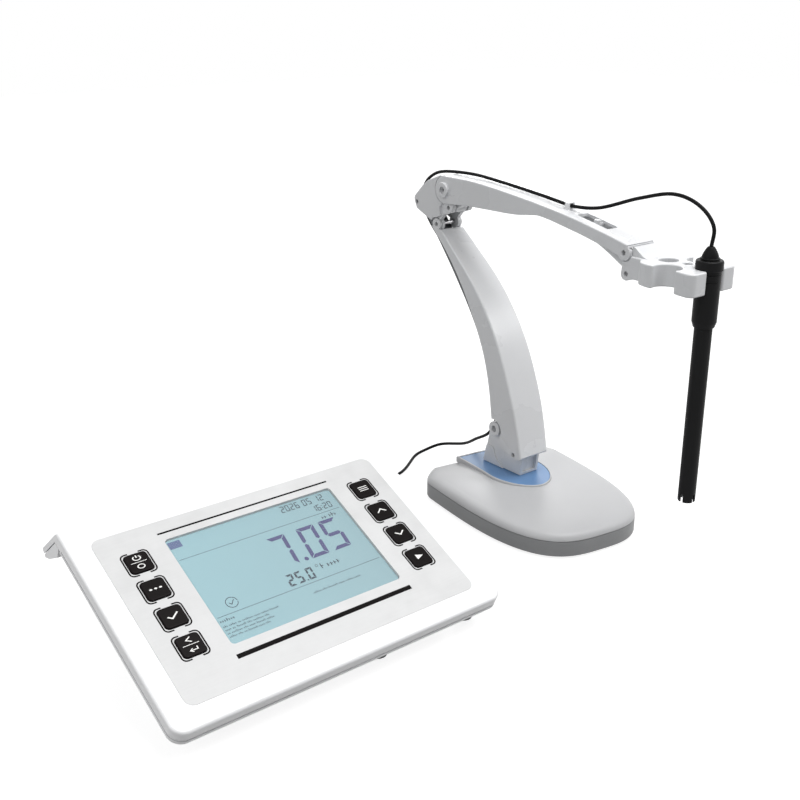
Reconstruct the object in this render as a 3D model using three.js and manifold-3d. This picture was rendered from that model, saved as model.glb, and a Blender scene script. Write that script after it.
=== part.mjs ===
// Benchtop pH meter with a jointed electrode stand, in millimetres, +Z up.
// The origin is the stand's swivel axis at the bench. X runs to the right, Y to the back.
import * as THREE from 'three';
import { mergeVertices } from 'three/addons/utils/BufferGeometryUtils.js';
import Module from 'manifold-3d';

const wasm = await Module();
wasm.setup();

// ---------------------------------------------------------------- driving dimensions

const GAP = 0.3; // clearance where two pieces meet
const FIT = 0.35; // side clearance round a key, the window and the overlay

// The meter: U across the sloping face, V up the slope, W out of the face.
const METER_PLACE = [-266.1, -154.8]; // middle of the front edge on the bench
const METER_WIDTH = 242;
const FACE_DEPTH = 159.3; // front edge to the ridge, up the slope
const FACE_TILT = 23.59;
const FACE_FRONT_HEIGHT = 20.5;
const CASE_WALL = 2.5;
const CASE_CORNER = 9;
const CASE_EDGE_ROUND = 2.2;
const TOP_RIM = 8.2; // height of the top case's rim
const FLANGE = 2; // thickness of the bottom case's flange
const LIP_ANGLE = 61.6; // how far the rear lip folds down from the face
const LIP_LENGTH = 35;
const LIP_SHEET = 3.3;
const LIP_GROOVE = 0.8;
const TUB_TOP_HALF = 100; // half width of the bottom case under the face
const TUB_FLOOR_HALF = 88;
const TUB_FRONT = 17;
const TUB_PAST_RIDGE = 0.2; // the tub's rear wall stands so far behind the ridge
const TUB_REAR = FACE_DEPTH * Math.cos((FACE_TILT * Math.PI) / 180) + TUB_PAST_RIDGE;
const TUB_FLOOR_HEIGHT = 5;
const TUB_CORNER = 8;

const OVERLAY_HALF = 106;
const OVERLAY_FROM = 14;
const OVERLAY_BACK = 14.3; // from the overlay to the ridge
const OVERLAY_TO = FACE_DEPTH - OVERLAY_BACK;
const OVERLAY_CORNER = 6;
const OVERLAY_THICKNESS = 0.6;
const OVERLAY_PROUD = 0.1;
const WINDOW_HALF = 63;
const WINDOW_FROM = 41;
const WINDOW_TO = OVERLAY_TO - 16;
const WINDOW_CORNER = 2.5;
const WINDOW_THICKNESS = 1.3;
const WINDOW_LEDGE = 1.5;
const LCD_FRAME_BORDER = 5;
const LCD_BOTTOM = -9;

const KEY_SIZE = 15.2;
const KEY_CORNER = 2.6;
const KEY_COLUMN = 85.4; // key centres from the middle of the face
const KEY_TOP_ROW = OVERLAY_TO - 26.6;
const KEY_PITCH = 22.6;
const KEY_ROWS = 4;
const KEY_PROUD = 1.2;
const KEY_TRAVEL = 0.5;
const KEY_FLANGE = 1.2; // width of the flange that keeps a key in its hole

const BOARD_HALF = 90;
const BOARD_FROM = 24;
const BOARD_TO = OVERLAY_TO - 7;
const BOARD_TOP = -12;
const BOARD_THICKNESS = 1.6;
const SWITCH_HEIGHT = 2.5;
const POST_RADIUS = 3;
const POST_INSET = 4;

const FOOT_RADIUS = 6.5;
const FOOT_HEIGHT = 2.4;
const FOOT_BOSS = 7;
const REAR_FEET_Y = TUB_REAR - 14.5;
const FEET = {
  front_foot_left: [-84, 34],
  front_foot_middle: [31.5, 21.9],
  front_foot_right: [104, 21.9],
  rear_foot_left: [-76, REAR_FEET_Y],
  rear_foot_right: [76, REAR_FEET_Y],
};

const PANEL_HALF = 76;
const PANEL_FROM = 12;
const PANEL_TO = 50;
const PANEL_THICKNESS = 2;
const PANEL_FLANGE = 2.4;
const CONNECTOR_HEIGHT = 34;
const BNC_X = 60;
const REFERENCE_X = 34;
const PROBE_X = 10;
const DATA_X = -20;
const POWER_X = -55;
const BNC_BARREL = 4.85;
const BNC_LENGTH = 10;
const SOCKET_DEPTH = 6;
const DATA_PORT_HALF = [6.2, 5.6];

// The stand's base: T runs forward from its back edge. It is turned on the swivel axis.
const BASE_TURN = -8.25;
const BASE_LENGTH = 162;
const BASE_BACK = 31.2; // back edge behind the swivel axis
const BASE_HALF = 65.6;
const BASE_BACK_HALF = 50.7;
const BASE_WIDEST = 21.8;
const BASE_FRONT_POWER = 3.15;
const PLATE_BOTTOM = 1.5;
const PLATE_TOP = 13.7;
const PAD_INSET = 5;
const COVER_WALL = 2.4;
const COVER_BOSS = 13;
const INLAY_LENGTH = 85.2;
const INLAY_FROM = 6;
const INLAY_HALF = 26.9;
const INLAY_FRONT_HALF = 24.7;
const INLAY_WIDEST = 50.5;
const INLAY_FRONT_POWER = 1.83;
const INLAY_TOP = 25.1;
const INLAY_THICKNESS = 1.6;
const INLAY_RIM = 1.8;
const BOLT_RADIUS = 3;
const BOLT_HEAD_RADIUS = 6;
const BOLT_HEAD = 4.5;

// The arm's pivots in the side view, as [y, z]. Each parallelogram keeps its shape.
const ARM_FOOT = [-27.5, 43.8];
const LOWER_REACH = [103, 172.2];
const LOWER_OFFSET = [23.5, 15.5];
const UPPER_HINGE = [64.2, 245.8];
const UPPER_REACH = [-190, -18.2];
const UPPER_OFFSET = [-2.5, -14.5];
const plus = (a, b) => [a[0] + b[0], a[1] + b[1]];
const LINK_FOOT = plus(ARM_FOOT, LOWER_OFFSET);
const ARM_ELBOW = plus(ARM_FOOT, LOWER_REACH);
const LINK_ELBOW = plus(LINK_FOOT, LOWER_REACH);
const UPPER_LINK_HINGE = plus(UPPER_HINGE, UPPER_OFFSET);
const ARM_HEAD = plus(UPPER_HINGE, UPPER_REACH);
const LINK_HEAD = plus(UPPER_LINK_HINGE, UPPER_REACH);

const PIN_RADIUS = 1.6;
const PIN_INSET = 1.4; // how far a pin's end lies inside its hole
const BOSS_RADIUS = 6.2;
const BOSS_BORE = 2.9; // the deep recess in a boss over its pin
const LINK_BOSS_HALF = 15.2;
const LINK_PIN_HALF = 11;
const UPPER_BOSS_HALF = 16.4;
const UPPER_PIN_HALF = 14.2;
const SHELL_WALL = 2.2;
const LINK_HALF = 6.9;
const CHEEK_GAP = 0.4; // side clearance between a link and the cheeks that hold it

const BRACKET_BOTTOM = INLAY_TOP + GAP;
const BRACKET_HALF = 10;
const BRACKET_FLOOR = 3.5;
const BRACKET_FRONT = -30.8;
const BRACKET_FRONT_RECESS = 1.8;
const BRACKET_FOOT_HALF = 11; // half width of the thicker rear foot of its cheeks
const LOWER_HALF_MID = 16.1;
const ELBOW_HALF = 13.6;
const ELBOW_TONGUE_HALF = 11.3;
const ELBOW_FOOT_HALF = 9.2;
const EAR_RADIUS = 5;
const NOTCH_RADIUS = 9.1; // clears the bracket's boss while the arm folds
const UPPER_HALF = 14;
const UPPER_END_RADIUS = 11.3;
const SLOT_HALF = 5.6;
const SLOT_FROM = -103;
const SLOT_TO = -73;
const HEAD_TOP = 225.8;
const HEAD_BOTTOM = 210;
const HEAD_ROOF = 2; // thickness over the well for the link
const HEAD_NECK_HALF = 13;
const HEAD_TONGUE_HALF = 11.3;

// The electrode hangs upright in the head's open seat.
const ELECTRODE_Y = -186.6;
const HANDLE_RADIUS = 8.3;
const COLLAR_RADIUS = HANDLE_RADIUS + 0.9;
const SEAT_RADIUS = HANDLE_RADIUS + GAP;
const SEAT_MOUTH_HALF = SEAT_RADIUS - 1.3; // the prongs close a little round the electrode
const COLLAR_TOP = 231.8;
const HANDLE_BOTTOM = 186.2;
const SHAFT_RADIUS = 6.1;
const SHAFT_BOTTOM = 58.5;
const CAP_GROOVES = [218, 223];
const BOOT_RADIUS = 5.6;
const BOOT_END = 240.6;

const CORD_RADIUS = 1.3;
const CLIP_Y = -61;
const CLIP_TUNNEL = CORD_RADIUS + 0.5;
const CLIP_CORD_Z = 249.4;

// ---------------------------------------------------------------- solids

function toSolid(geometry) {
  const bare = geometry.index ? geometry.toNonIndexed() : geometry.clone();
  bare.deleteAttribute('normal');
  bare.deleteAttribute('uv');
  const merged = mergeVertices(bare, 1e-4);
  const vertProperties = merged.attributes.position.array;
  const triVerts = new Uint32Array(merged.index.array);
  return new wasm.Manifold(new wasm.Mesh({ numProp: 3, vertProperties, triVerts }));
}

function toGeometry(solid) {
  const { vertProperties, triVerts } = solid.getMesh();
  const geometry = new THREE.BufferGeometry();
  geometry.setAttribute('position', new THREE.BufferAttribute(vertProperties, 3));
  geometry.setIndex(new THREE.BufferAttribute(triVerts, 1));
  return geometry;
}

const join = (first, ...rest) =>
  toGeometry(rest.reduce((sum, next) => sum.add(toSolid(next)), toSolid(first)));
const cut = (first, ...rest) =>
  toGeometry(rest.reduce((left, next) => left.subtract(toSolid(next)), toSolid(first)));
const overlap = (first, second) => toGeometry(toSolid(first).intersect(toSolid(second)));

// A closed outline through corners [x, y, radius]; a corner without a radius stays sharp.
function filleted(corners) {
  const shape = new THREE.Shape();
  corners.forEach(([x, y, radius = 0], i) => {
    const go = (px, py) => (i ? shape.lineTo(px, py) : shape.moveTo(px, py));
    if (!radius) {
      go(x, y);
      return;
    }
    const corner = new THREE.Vector2(x, y);
    const [bx, by] = corners[(i + corners.length - 1) % corners.length];
    const [ax, ay] = corners[(i + 1) % corners.length];
    const before = new THREE.Vector2(bx, by).sub(corner).normalize();
    const after = new THREE.Vector2(ax, ay).sub(corner).normalize();
    const half = Math.acos(THREE.MathUtils.clamp(before.dot(after), -1, 1)) / 2;
    const start = corner.clone().addScaledVector(before, radius / Math.tan(half));
    const end = corner.clone().addScaledVector(after, radius / Math.tan(half));
    const middle = before.clone().add(after).normalize();
    const centre = corner.clone().addScaledVector(middle, radius / Math.sin(half));
    go(start.x, start.y);
    const from = start.clone().sub(centre).angle();
    const to = end.clone().sub(centre).angle();
    shape.absarc(centre.x, centre.y, radius, from, to, before.cross(after) > 0);
  });
  return shape;
}

const rectangle = (x0, x1, y0, y1, radius = 0) =>
  filleted([[x0, y0, radius], [x1, y0, radius], [x1, y1, radius], [x0, y1, radius]]);

// A round outline in four quarters, so that it is as finely divided as a fillet.
function disc([x, y], radius) {
  const shape = new THREE.Shape();
  for (let quarter = 0; quarter < 4; quarter++) {
    shape.absarc(x, y, radius, (quarter * Math.PI) / 2, ((quarter + 1) * Math.PI) / 2, false);
  }
  return shape;
}

// A smooth closed outline: up one edge and down the other, each a spline through its points.
function twoEdged(there, back) {
  const asVectors = (points) => points.map(([x, y]) => new THREE.Vector2(x, y));
  const shape = new THREE.Shape();
  shape.moveTo(...there[0]);
  shape.splineThru(asVectors(there.slice(1)));
  shape.lineTo(...back[0]);
  shape.splineThru(asVectors(back.slice(1)));
  return shape;
}

function prism(shape, from, to, curveSegments = 1) {
  const options = { depth: to - from, bevelEnabled: false, curveSegments };
  return new THREE.ExtrudeGeometry(shape, options).translate(0, 0, from);
}

// An outline drawn in the side view, as (y, z), and carried across X.
const SIDE_VIEW = new THREE.Matrix4().makeBasis(
  new THREE.Vector3(0, 1, 0),
  new THREE.Vector3(0, 0, 1),
  new THREE.Vector3(1, 0, 0),
);
function across(shape, from, to, curveSegments = 1) {
  return prism(shape, from, to, curveSegments).applyMatrix4(SIDE_VIEW);
}
const slab = (shape, half, curveSegments = 1) => across(shape, -half, half, curveSegments);
const bothSides = (shape, from, to, segments = 1) =>
  join(across(shape, from, to, segments), across(shape, -to, -from, segments));

const box = (x0, x1, y0, y1, z0, z1) => prism(rectangle(x0, x1, y0, y1), z0, z1);
const post = (x, y, radius, z0, z1, segments = 14) =>
  new THREE.CylinderGeometry(radius, radius, z1 - z0, segments)
    .rotateX(Math.PI / 2)
    .translate(x, y, (z0 + z1) / 2);

// A body turned round the Z axis, from its profile of [radius, height] up from the axis.
function turned(profile, segments = 20) {
  const points = profile.map(([radius, height]) => new THREE.Vector2(radius, height));
  return new THREE.LatheGeometry(points, segments).rotateX(Math.PI / 2);
}

// A body between rings with as many points each, closed by the first and last ring.
function loft(rings) {
  const count = rings[0].length;
  const positions = rings.flat().flatMap((p) => [p.x, p.y, p.z]);
  const index = [];
  for (let ring = 0; ring + 1 < rings.length; ring++) {
    for (let i = 0; i < count; i++) {
      const next = (i + 1) % count;
      const [a, b] = [ring * count + i, ring * count + next];
      index.push(a, b, b + count, a, b + count, a + count);
    }
  }
  const flat = rings[0].map((p) => new THREE.Vector2(p.x, p.y));
  const top = (rings.length - 1) * count;
  for (const [a, b, c] of THREE.ShapeUtils.triangulateShape(flat, [])) {
    index.push(a, c, b, top + a, top + b, top + c);
  }
  const geometry = new THREE.BufferGeometry();
  geometry.setAttribute('position', new THREE.Float32BufferAttribute(positions, 3));
  geometry.setIndex(index);
  return geometry;
}

// ---------------------------------------------------------------- materials and groups

const finish = (color, roughness, metalness = 0) =>
  new THREE.MeshStandardMaterial({ color, roughness, metalness });
const WHITE = finish(0xf1f2f3, 0.3);
const PANEL_GREY = finish(0xe3e4e6, 0.45, 0.2);
const BLACK = finish(0x1c1a1a, 0.35);
const RUBBER = finish(0x3a3a3c, 0.8);
const GLASS = finish(0xb4d2dc, 0.1);
const LCD = finish(0xb3d4db, 0.3);
const BOARD = finish(0x1f6b3a, 0.6);
const METAL = finish(0xb9babd, 0.3, 1);
const LINK_METAL = finish(0x8a8d92, 0.4, 0.8);
const BASE_GREY = finish(0x7d7e80, 0.55);
const BASE_TOP = finish(0xcececf, 0.5);
const BLUE = finish(0x6e96c3, 0.45);
const ARM_GREY = finish(0xc3c5c9, 0.45);
const ELECTRODE_BLACK = finish(0x2b2b2b, 0.5);

const object = new THREE.Group();
const meter = new THREE.Group();
meter.position.set(METER_PLACE[0], METER_PLACE[1], 0);
const face = new THREE.Group();
face.position.z = FACE_FRONT_HEIGHT;
face.rotation.x = THREE.MathUtils.degToRad(FACE_TILT);
meter.add(face);
const base = new THREE.Group();
base.rotation.z = THREE.MathUtils.degToRad(BASE_TURN);
const stand = new THREE.Group();
object.add(meter, base, stand);

function piece(parent, name, geometry, material) {
  const mesh = new THREE.Mesh(geometry, material);
  mesh.name = name;
  parent.add(mesh);
  return mesh;
}

// ---------------------------------------------------------------- the meter's case

const HALF_WIDTH = METER_WIDTH / 2;
const TILT = THREE.MathUtils.degToRad(FACE_TILT);
const LIP = THREE.MathUtils.degToRad(LIP_ANGLE);
const LIP_ALONG = [Math.cos(LIP), -Math.sin(LIP)];
const LIP_INWARD = [-Math.sin(LIP), -Math.cos(LIP)];
const FLANGE_TOP = -TOP_RIM - GAP;
const FLANGE_BOTTOM = FLANGE_TOP - FLANGE;

// A point of the lip's side view: so far down the lip and so deep under its outer side.
const onLip = (along, depth) => [
  FACE_DEPTH + LIP_ALONG[0] * along + LIP_INWARD[0] * depth,
  LIP_ALONG[1] * along + LIP_INWARD[1] * depth,
];
// Where the line at that depth under the lip's outer side meets a level below the face.
const lipMeets = (depth, level) => onLip((level - LIP_INWARD[1] * depth) / LIP_ALONG[1], depth);

// From the face's own frame into the meter's upright one.
const uprightFrame = new THREE.Matrix4()
  .makeTranslation(0, 0, FACE_FRONT_HEIGHT)
  .multiply(new THREE.Matrix4().makeRotationX(TILT));
const upright = (geometry) => geometry.clone().applyMatrix4(uprightFrame);
// How far up the face the upright plane at y cuts a level under the face.
const upSlope = (y, level) => (y + level * Math.sin(TILT)) / Math.cos(TILT);

const keyPlaces = [];
for (const side of [-1, 1]) {
  for (let row = 0; row < KEY_ROWS; row++) {
    keyPlaces.push([side * KEY_COLUMN, KEY_TOP_ROW - row * KEY_PITCH]);
  }
}
const around = (u, v, half, radius) => rectangle(u - half, u + half, v - half, v + half, radius);
const frontRounded = (half, from, to, radius) =>
  filleted([[-half, from, radius], [half, from, radius], [half, to], [-half, to]]);

function topCase() {
  const beyond = FACE_DEPTH + LIP_LENGTH;
  const plan = frontRounded(HALF_WIDTH, 0, beyond, CASE_CORNER);
  const round = {
    bevelThickness: CASE_EDGE_ROUND,
    bevelSize: CASE_EDGE_ROUND,
    bevelOffset: -CASE_EDGE_ROUND,
    bevelSegments: 2,
    curveSegments: 2,
  };
  const block = new THREE.ExtrudeGeometry(plan, { depth: beyond, ...round });
  block.translate(0, 0, -beyond - CASE_EDGE_ROUND);
  const side = filleted([
    [-1, -TOP_RIM],
    lipMeets(LIP_SHEET, -TOP_RIM),
    [...onLip(LIP_LENGTH, LIP_SHEET), 0.8],
    [...onLip(LIP_LENGTH, 0), 1.6],
    [FACE_DEPTH, 0, 3],
    [-1, 0],
  ]);
  const outer = overlap(block, slab(side, HALF_WIDTH + 1));
  const rear = FACE_DEPTH - LIP_SHEET - CASE_WALL;
  const inside = HALF_WIDTH - CASE_WALL;
  const cavity = frontRounded(inside, CASE_WALL, rear, CASE_CORNER - CASE_WALL);
  const cuts = [prism(cavity, -TOP_RIM - 1, -CASE_WALL)];
  cuts.push(prism(overlayOutline(GAP), -OVERLAY_THICKNESS + OVERLAY_PROUD - GAP, 1));
  cuts.push(prism(windowOutline(GAP), -WINDOW_THICKNESS + OVERLAY_PROUD - GAP, 1));
  cuts.push(prism(windowOutline(-WINDOW_LEDGE), -TOP_RIM, 1));
  for (const [u, v] of keyPlaces) {
    cuts.push(prism(around(u, v, KEY_SIZE / 2 + FIT, KEY_CORNER + FIT), -TOP_RIM, 1));
  }
  return join(cut(outer, ...cuts), ...boardPosts());
}

function boardPosts() {
  const across = WINDOW_HALF + LCD_FRAME_BORDER + POST_INSET; // between the display and the keys
  const rows = [BOARD_FROM + POST_INSET, BOARD_TO - POST_INSET];
  return rows.flatMap((v) =>
    [-across, across].map((u) => post(u, v, POST_RADIUS, BOARD_TOP + GAP, -CASE_WALL + 0.5)));
}

const overlayOutline = (grow) =>
  rectangle(-OVERLAY_HALF - grow, OVERLAY_HALF + grow, OVERLAY_FROM - grow, OVERLAY_TO + grow,
    OVERLAY_CORNER + grow);
const windowOutline = (grow) =>
  rectangle(-WINDOW_HALF - grow, WINDOW_HALF + grow, WINDOW_FROM - grow, WINDOW_TO + grow,
    Math.max(WINDOW_CORNER + grow, 0.5));

// A ring of a rectangle with round corners, as points of the plane.
function ringPoints(half, from, to, radius) {
  const corner = rectangle(-half, half, from, to, radius);
  return corner.getPoints(2).slice(0, -1);
}

// The tub under the face narrows towards its level floor; its rear wall stands upright.
function tub(wall, floor, top) {
  const radius = TUB_CORNER - wall;
  const topFrom = upSlope(TUB_FRONT + wall, top);
  const topTo = upSlope(TUB_REAR - wall, top);
  const low = ringPoints(TUB_FLOOR_HALF - wall, TUB_FRONT + wall, TUB_REAR - wall, radius);
  const high = ringPoints(TUB_TOP_HALF - wall, topFrom, topTo, radius);
  return loft([
    low.map((p) => new THREE.Vector3(p.x, p.y, floor)),
    high.map((p) => new THREE.Vector3(p.x, p.y, top).applyMatrix4(uprightFrame)),
  ]);
}

function lowerLip() {
  const groove = LIP_SHEET + LIP_GROOVE;
  const start = lipMeets(groove, FLANGE_TOP);
  const end = onLip(LIP_LENGTH, groove);
  return filleted([
    [start[0] - 5, FLANGE_TOP],
    [start[0] - 5, FLANGE_BOTTOM],
    [start[0] - 4.8, -17.1, 2],
    [start[0] + 5.7, -29.4, 3],
    [end[0] - 1.4, end[1] - 1.3, 1.2],
    [...end, 0.5],
    start,
  ]);
}

function bottomCase() {
  const rear = lipMeets(LIP_SHEET + LIP_GROOVE, FLANGE_TOP)[0] - 2;
  const plan = frontRounded(HALF_WIDTH, 0, rear, CASE_CORNER);
  const flange = upright(prism(plan, FLANGE_BOTTOM, FLANGE_TOP));
  const lip = upright(slab(lowerLip(), HALF_WIDTH));
  const shell = [flange, lip, tub(0, TUB_FLOOR_HEIGHT, FLANGE_TOP - 0.5)];
  for (const [x, y] of Object.values(FEET)) shell.push(footBoss(x, y));
  const hollow = tub(CASE_WALL, TUB_FLOOR_HEIGHT + CASE_WALL, FLANGE_TOP - 0.5);
  const window = box(-PANEL_HALF, PANEL_HALF, TUB_REAR - 8, TUB_REAR + 8, PANEL_FROM, PANEL_TO);
  const inside = TUB_TOP_HALF - CASE_WALL;
  const mouth = rectangle(-inside, inside, upSlope(TUB_FRONT + CASE_WALL, FLANGE_TOP),
    upSlope(TUB_REAR - CASE_WALL, FLANGE_TOP), TUB_CORNER - CASE_WALL);
  const opening = upright(prism(mouth, FLANGE_TOP - 0.6, FLANGE_TOP + 1));
  const above = upright(prism(rectangle(-HALF_WIDTH, HALF_WIDTH, -20, rear), FLANGE_TOP, 30));
  return cut(join(...shell), hollow, opening, window, above);
}

// A boss over a foot, up into the flange or the tub's floor.
function footBoss(x, y) {
  const underFlange = Math.abs(x) > TUB_FLOOR_HALF;
  const top = underFlange ? FACE_FRONT_HEIGHT - TOP_RIM + y * Math.tan(TILT) : TUB_FLOOR_HEIGHT + 1;
  return post(x, y, FOOT_BOSS, FOOT_HEIGHT + GAP, top);
}

function feet() {
  for (const [name, [x, y]] of Object.entries(FEET)) {
    piece(meter, name, post(x, y, FOOT_RADIUS, 0, FOOT_HEIGHT), RUBBER);
  }
}

function overlayPanel() {
  const shape = overlayOutline(0);
  shape.holes.push(windowOutline(GAP));
  for (const [u, v] of keyPlaces) {
    shape.holes.push(around(u, v, KEY_SIZE / 2 + FIT, KEY_CORNER + FIT));
  }
  return prism(shape, OVERLAY_PROUD - OVERLAY_THICKNESS, OVERLAY_PROUD);
}

const lcdWindow = () =>
  prism(windowOutline(0), OVERLAY_PROUD - WINDOW_THICKNESS, OVERLAY_PROUD);

function lcdModule() {
  const glassTop = OVERLAY_PROUD - WINDOW_THICKNESS - GAP;
  const frameTop = -CASE_WALL - GAP;
  const glass = prism(windowOutline(-WINDOW_LEDGE - GAP), frameTop - 1, glassTop);
  const frame = prism(windowOutline(LCD_FRAME_BORDER), LCD_BOTTOM, frameTop);
  return join(glass, frame);
}

function mainBoard() {
  const outline = rectangle(-BOARD_HALF, BOARD_HALF, BOARD_FROM, BOARD_TO, 3);
  const parts = [prism(outline, BOARD_TOP - BOARD_THICKNESS, BOARD_TOP)];
  for (const [u, v] of keyPlaces) {
    parts.push(box(u - 3, u + 3, v - 3, v + 3, BOARD_TOP - 0.5, BOARD_TOP + SWITCH_HEIGHT));
    parts.push(post(u, v, 1.7, BOARD_TOP, switchTop(), 8));
  }
  return join(...parts);
}
const switchTop = () => BOARD_TOP + SWITCH_HEIGHT + 0.7;

// A key: a cap with a soft edge, the flange that keeps it in its hole and a stem to its switch.
function key() {
  const edge = 0.5;
  const flangeTop = -CASE_WALL - GAP;
  const flangeBottom = flangeTop - KEY_FLANGE;
  const rim = { bevelThickness: edge, bevelSize: edge, bevelOffset: -edge, bevelSegments: 1 };
  const cap = new THREE.ExtrudeGeometry(around(0, 0, KEY_SIZE / 2, KEY_CORNER), {
    depth: KEY_PROUD - flangeTop - edge,
    curveSegments: 1,
    ...rim,
  }).translate(0, 0, flangeTop);
  const flange = prism(around(0, 0, KEY_SIZE / 2 + KEY_FLANGE, KEY_CORNER), flangeBottom, flangeTop);
  const stem = post(0, 0, 2, switchTop() + KEY_TRAVEL + GAP, flangeBottom + 0.5, 8);
  return join(cap, flange, stem);
}

function keys() {
  const geometry = key();
  keyPlaces.forEach(([u, v], i) => {
    const side = u < 0 ? 'left' : 'right';
    const cap = piece(face, `key_${side}_${(i % KEY_ROWS) + 1}`, geometry.clone(), BLACK);
    cap.position.set(u, v, 0);
  });
}

// ---------------------------------------------------------------- the meter's rear panel

const PANEL_OUT = TUB_REAR - 0.2; // the panel's outer side
const PANEL_IN = PANEL_OUT - PANEL_THICKNESS;
const FLANGE_IN = TUB_REAR - CASE_WALL - GAP - PANEL_THICKNESS;

// A body turned round an axis along Y, out of the rear panel.
const outward = (profile, x, segments = 10) =>
  turned(profile, segments).rotateX(-Math.PI / 2).translate(x, 0, CONNECTOR_HEIGHT);

const connectorHoles = [
  [BNC_X, BNC_BARREL],
  [REFERENCE_X, 3],
  [PROBE_X, 4.6],
  [POWER_X, 4],
];

function rearPanel() {
  const plate = box(-PANEL_HALF + GAP, PANEL_HALF - GAP, PANEL_IN - 1, PANEL_OUT,
    PANEL_FROM + GAP, PANEL_TO - GAP);
  const back = box(-PANEL_HALF - PANEL_FLANGE, PANEL_HALF + PANEL_FLANGE, FLANGE_IN,
    TUB_REAR - CASE_WALL - GAP, PANEL_FROM - PANEL_FLANGE, PANEL_TO + PANEL_FLANGE);
  const holes = connectorHoles.map(([x, radius]) =>
    outward([[0, 100], [radius + GAP, 100], [radius + GAP, 200], [0, 200]], x));
  const port = DATA_PORT_HALF.map((half) => half + GAP);
  holes.push(box(DATA_X - port[0], DATA_X + port[0], 100, 200,
    CONNECTOR_HEIGHT - port[1], CONNECTOR_HEIGHT + port[1]));
  return cut(join(plate, back), ...holes);
}

// A round socket: a flange behind the panel, a neck through it and a collar outside.
function socket(x, neck, collar, length, bore) {
  const inner = FLANGE_IN - GAP;
  const outer = PANEL_OUT + GAP;
  return outward([
    [0, inner - 8],
    [neck + 1.5, inner - 8],
    [neck + 1.5, inner],
    [neck, inner],
    [neck, outer],
    [collar, outer],
    [collar, outer + 1.6],
    [neck, outer + 1.6],
    [neck, outer + length],
    [bore, outer + length],
    [bore, outer - SOCKET_DEPTH],
    [0, outer - SOCKET_DEPTH],
  ], x);
}

function dataPort() {
  const [half, high] = DATA_PORT_HALF;
  const z = CONNECTOR_HEIGHT;
  const shell = box(DATA_X - half, DATA_X + half, FLANGE_IN - 12, PANEL_OUT + 1, z - high, z + high);
  const ears = box(DATA_X - half - 2, DATA_X + half + 2, FLANGE_IN - 12, FLANGE_IN - GAP,
    z - high - 1, z + high);
  const mouth = box(DATA_X - half + 1.4, DATA_X + half - 1.4, PANEL_OUT - 7, PANEL_OUT + 5,
    z - high + 1.4, z + high - 1.4);
  const tongue = box(DATA_X - 3, DATA_X + 3, PANEL_OUT - 8, PANEL_OUT - 1, z - 1.5, z + 1.5);
  return join(cut(join(shell, ears), mouth), tongue);
}

function rearConnectors() {
  piece(meter, 'bnc_socket', socket(BNC_X, BNC_BARREL, 7, BNC_LENGTH, 3.6), METAL);
  piece(meter, 'reference_socket', socket(REFERENCE_X, 3, 5, 1.6, 2.1), METAL);
  piece(meter, 'probe_socket', socket(PROBE_X, 4.6, 6.4, 2, 3.6), BLACK);
  piece(meter, 'data_port', dataPort(), METAL);
  piece(meter, 'power_jack', socket(POWER_X, 4, 5.4, 1.6, 2.8), BLACK);
}

function meterPieces() {
  piece(face, 'top_case', topCase(), WHITE);
  piece(meter, 'bottom_case', bottomCase(), WHITE);
  piece(face, 'overlay_panel', overlayPanel(), PANEL_GREY);
  piece(face, 'lcd_window', lcdWindow(), GLASS);
  piece(face, 'lcd_module', lcdModule(), LCD);
  piece(face, 'main_board', mainBoard(), BOARD);
  piece(meter, 'rear_panel', rearPanel(), PANEL_GREY);
  rearConnectors();
  keys();
  feet();
}

// ---------------------------------------------------------------- the stand's base

// Half a footprint: straight back edge, swelling sides and a rounded front, by distance forward.
function footprint({ length, back, widest, half, power }, from = 0, steps = 11) {
  const stations = [];
  for (let i = 0; i < 3; i++) stations.push(from + ((widest - from) * i) / 3);
  for (let i = 0; i <= steps; i++) {
    stations.push(widest + (length - widest) * Math.sin((i / steps) * (Math.PI / 2)));
  }
  return stations.map((t) => {
    const past = Math.max(t - widest, 0) / (length - widest);
    const swell = half - (half - back) * ((widest - t) / widest) ** 2;
    const width = t < widest ? swell : half * Math.max(1 - past ** power, 0) ** (1 / power);
    return [width, t];
  });
}

const BASE_PRINT = {
  length: BASE_LENGTH,
  back: BASE_BACK_HALF,
  widest: BASE_WIDEST,
  half: BASE_HALF,
  power: BASE_FRONT_POWER,
};
const INLAY_PRINT = {
  length: INLAY_LENGTH,
  back: INLAY_HALF,
  widest: INLAY_WIDEST,
  half: INLAY_FRONT_HALF,
  power: INLAY_FRONT_POWER,
};

// The footprint as one loop, counter-clockwise from above, in the base's own frame.
function loop(print, from = 0) {
  const half = footprint(print, from);
  const tip = half.length - 1;
  const left = half.map(([w, t]) => new THREE.Vector2(-w, BASE_BACK - t));
  const right = half.slice(0, tip).reverse().map(([w, t]) => new THREE.Vector2(w, BASE_BACK - t));
  return [...left, ...right];
}

// The base's ring drawn in by so much all round, at one height.
function baseRing(inset, z) {
  const middle = BASE_BACK - BASE_LENGTH / 2;
  const narrow = 1 - inset / BASE_HALF;
  const shorten = 1 - inset / (BASE_LENGTH / 2);
  return loop(BASE_PRINT).map(
    (p) => new THREE.Vector3(p.x * narrow, middle + (p.y - middle) * shorten, z));
}

// The cover's skin: a steep shoulder, a crease and a gentle dome, as [inset, height].
const COVER_SKIN = [
  [0, PLATE_TOP + GAP],
  [0.8, 16.6],
  [2.8, 18.9],
  [6.6, 20.2],
  [9.4, 20.7],
  [24, 22.4],
  [54, 23.9],
];

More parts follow.
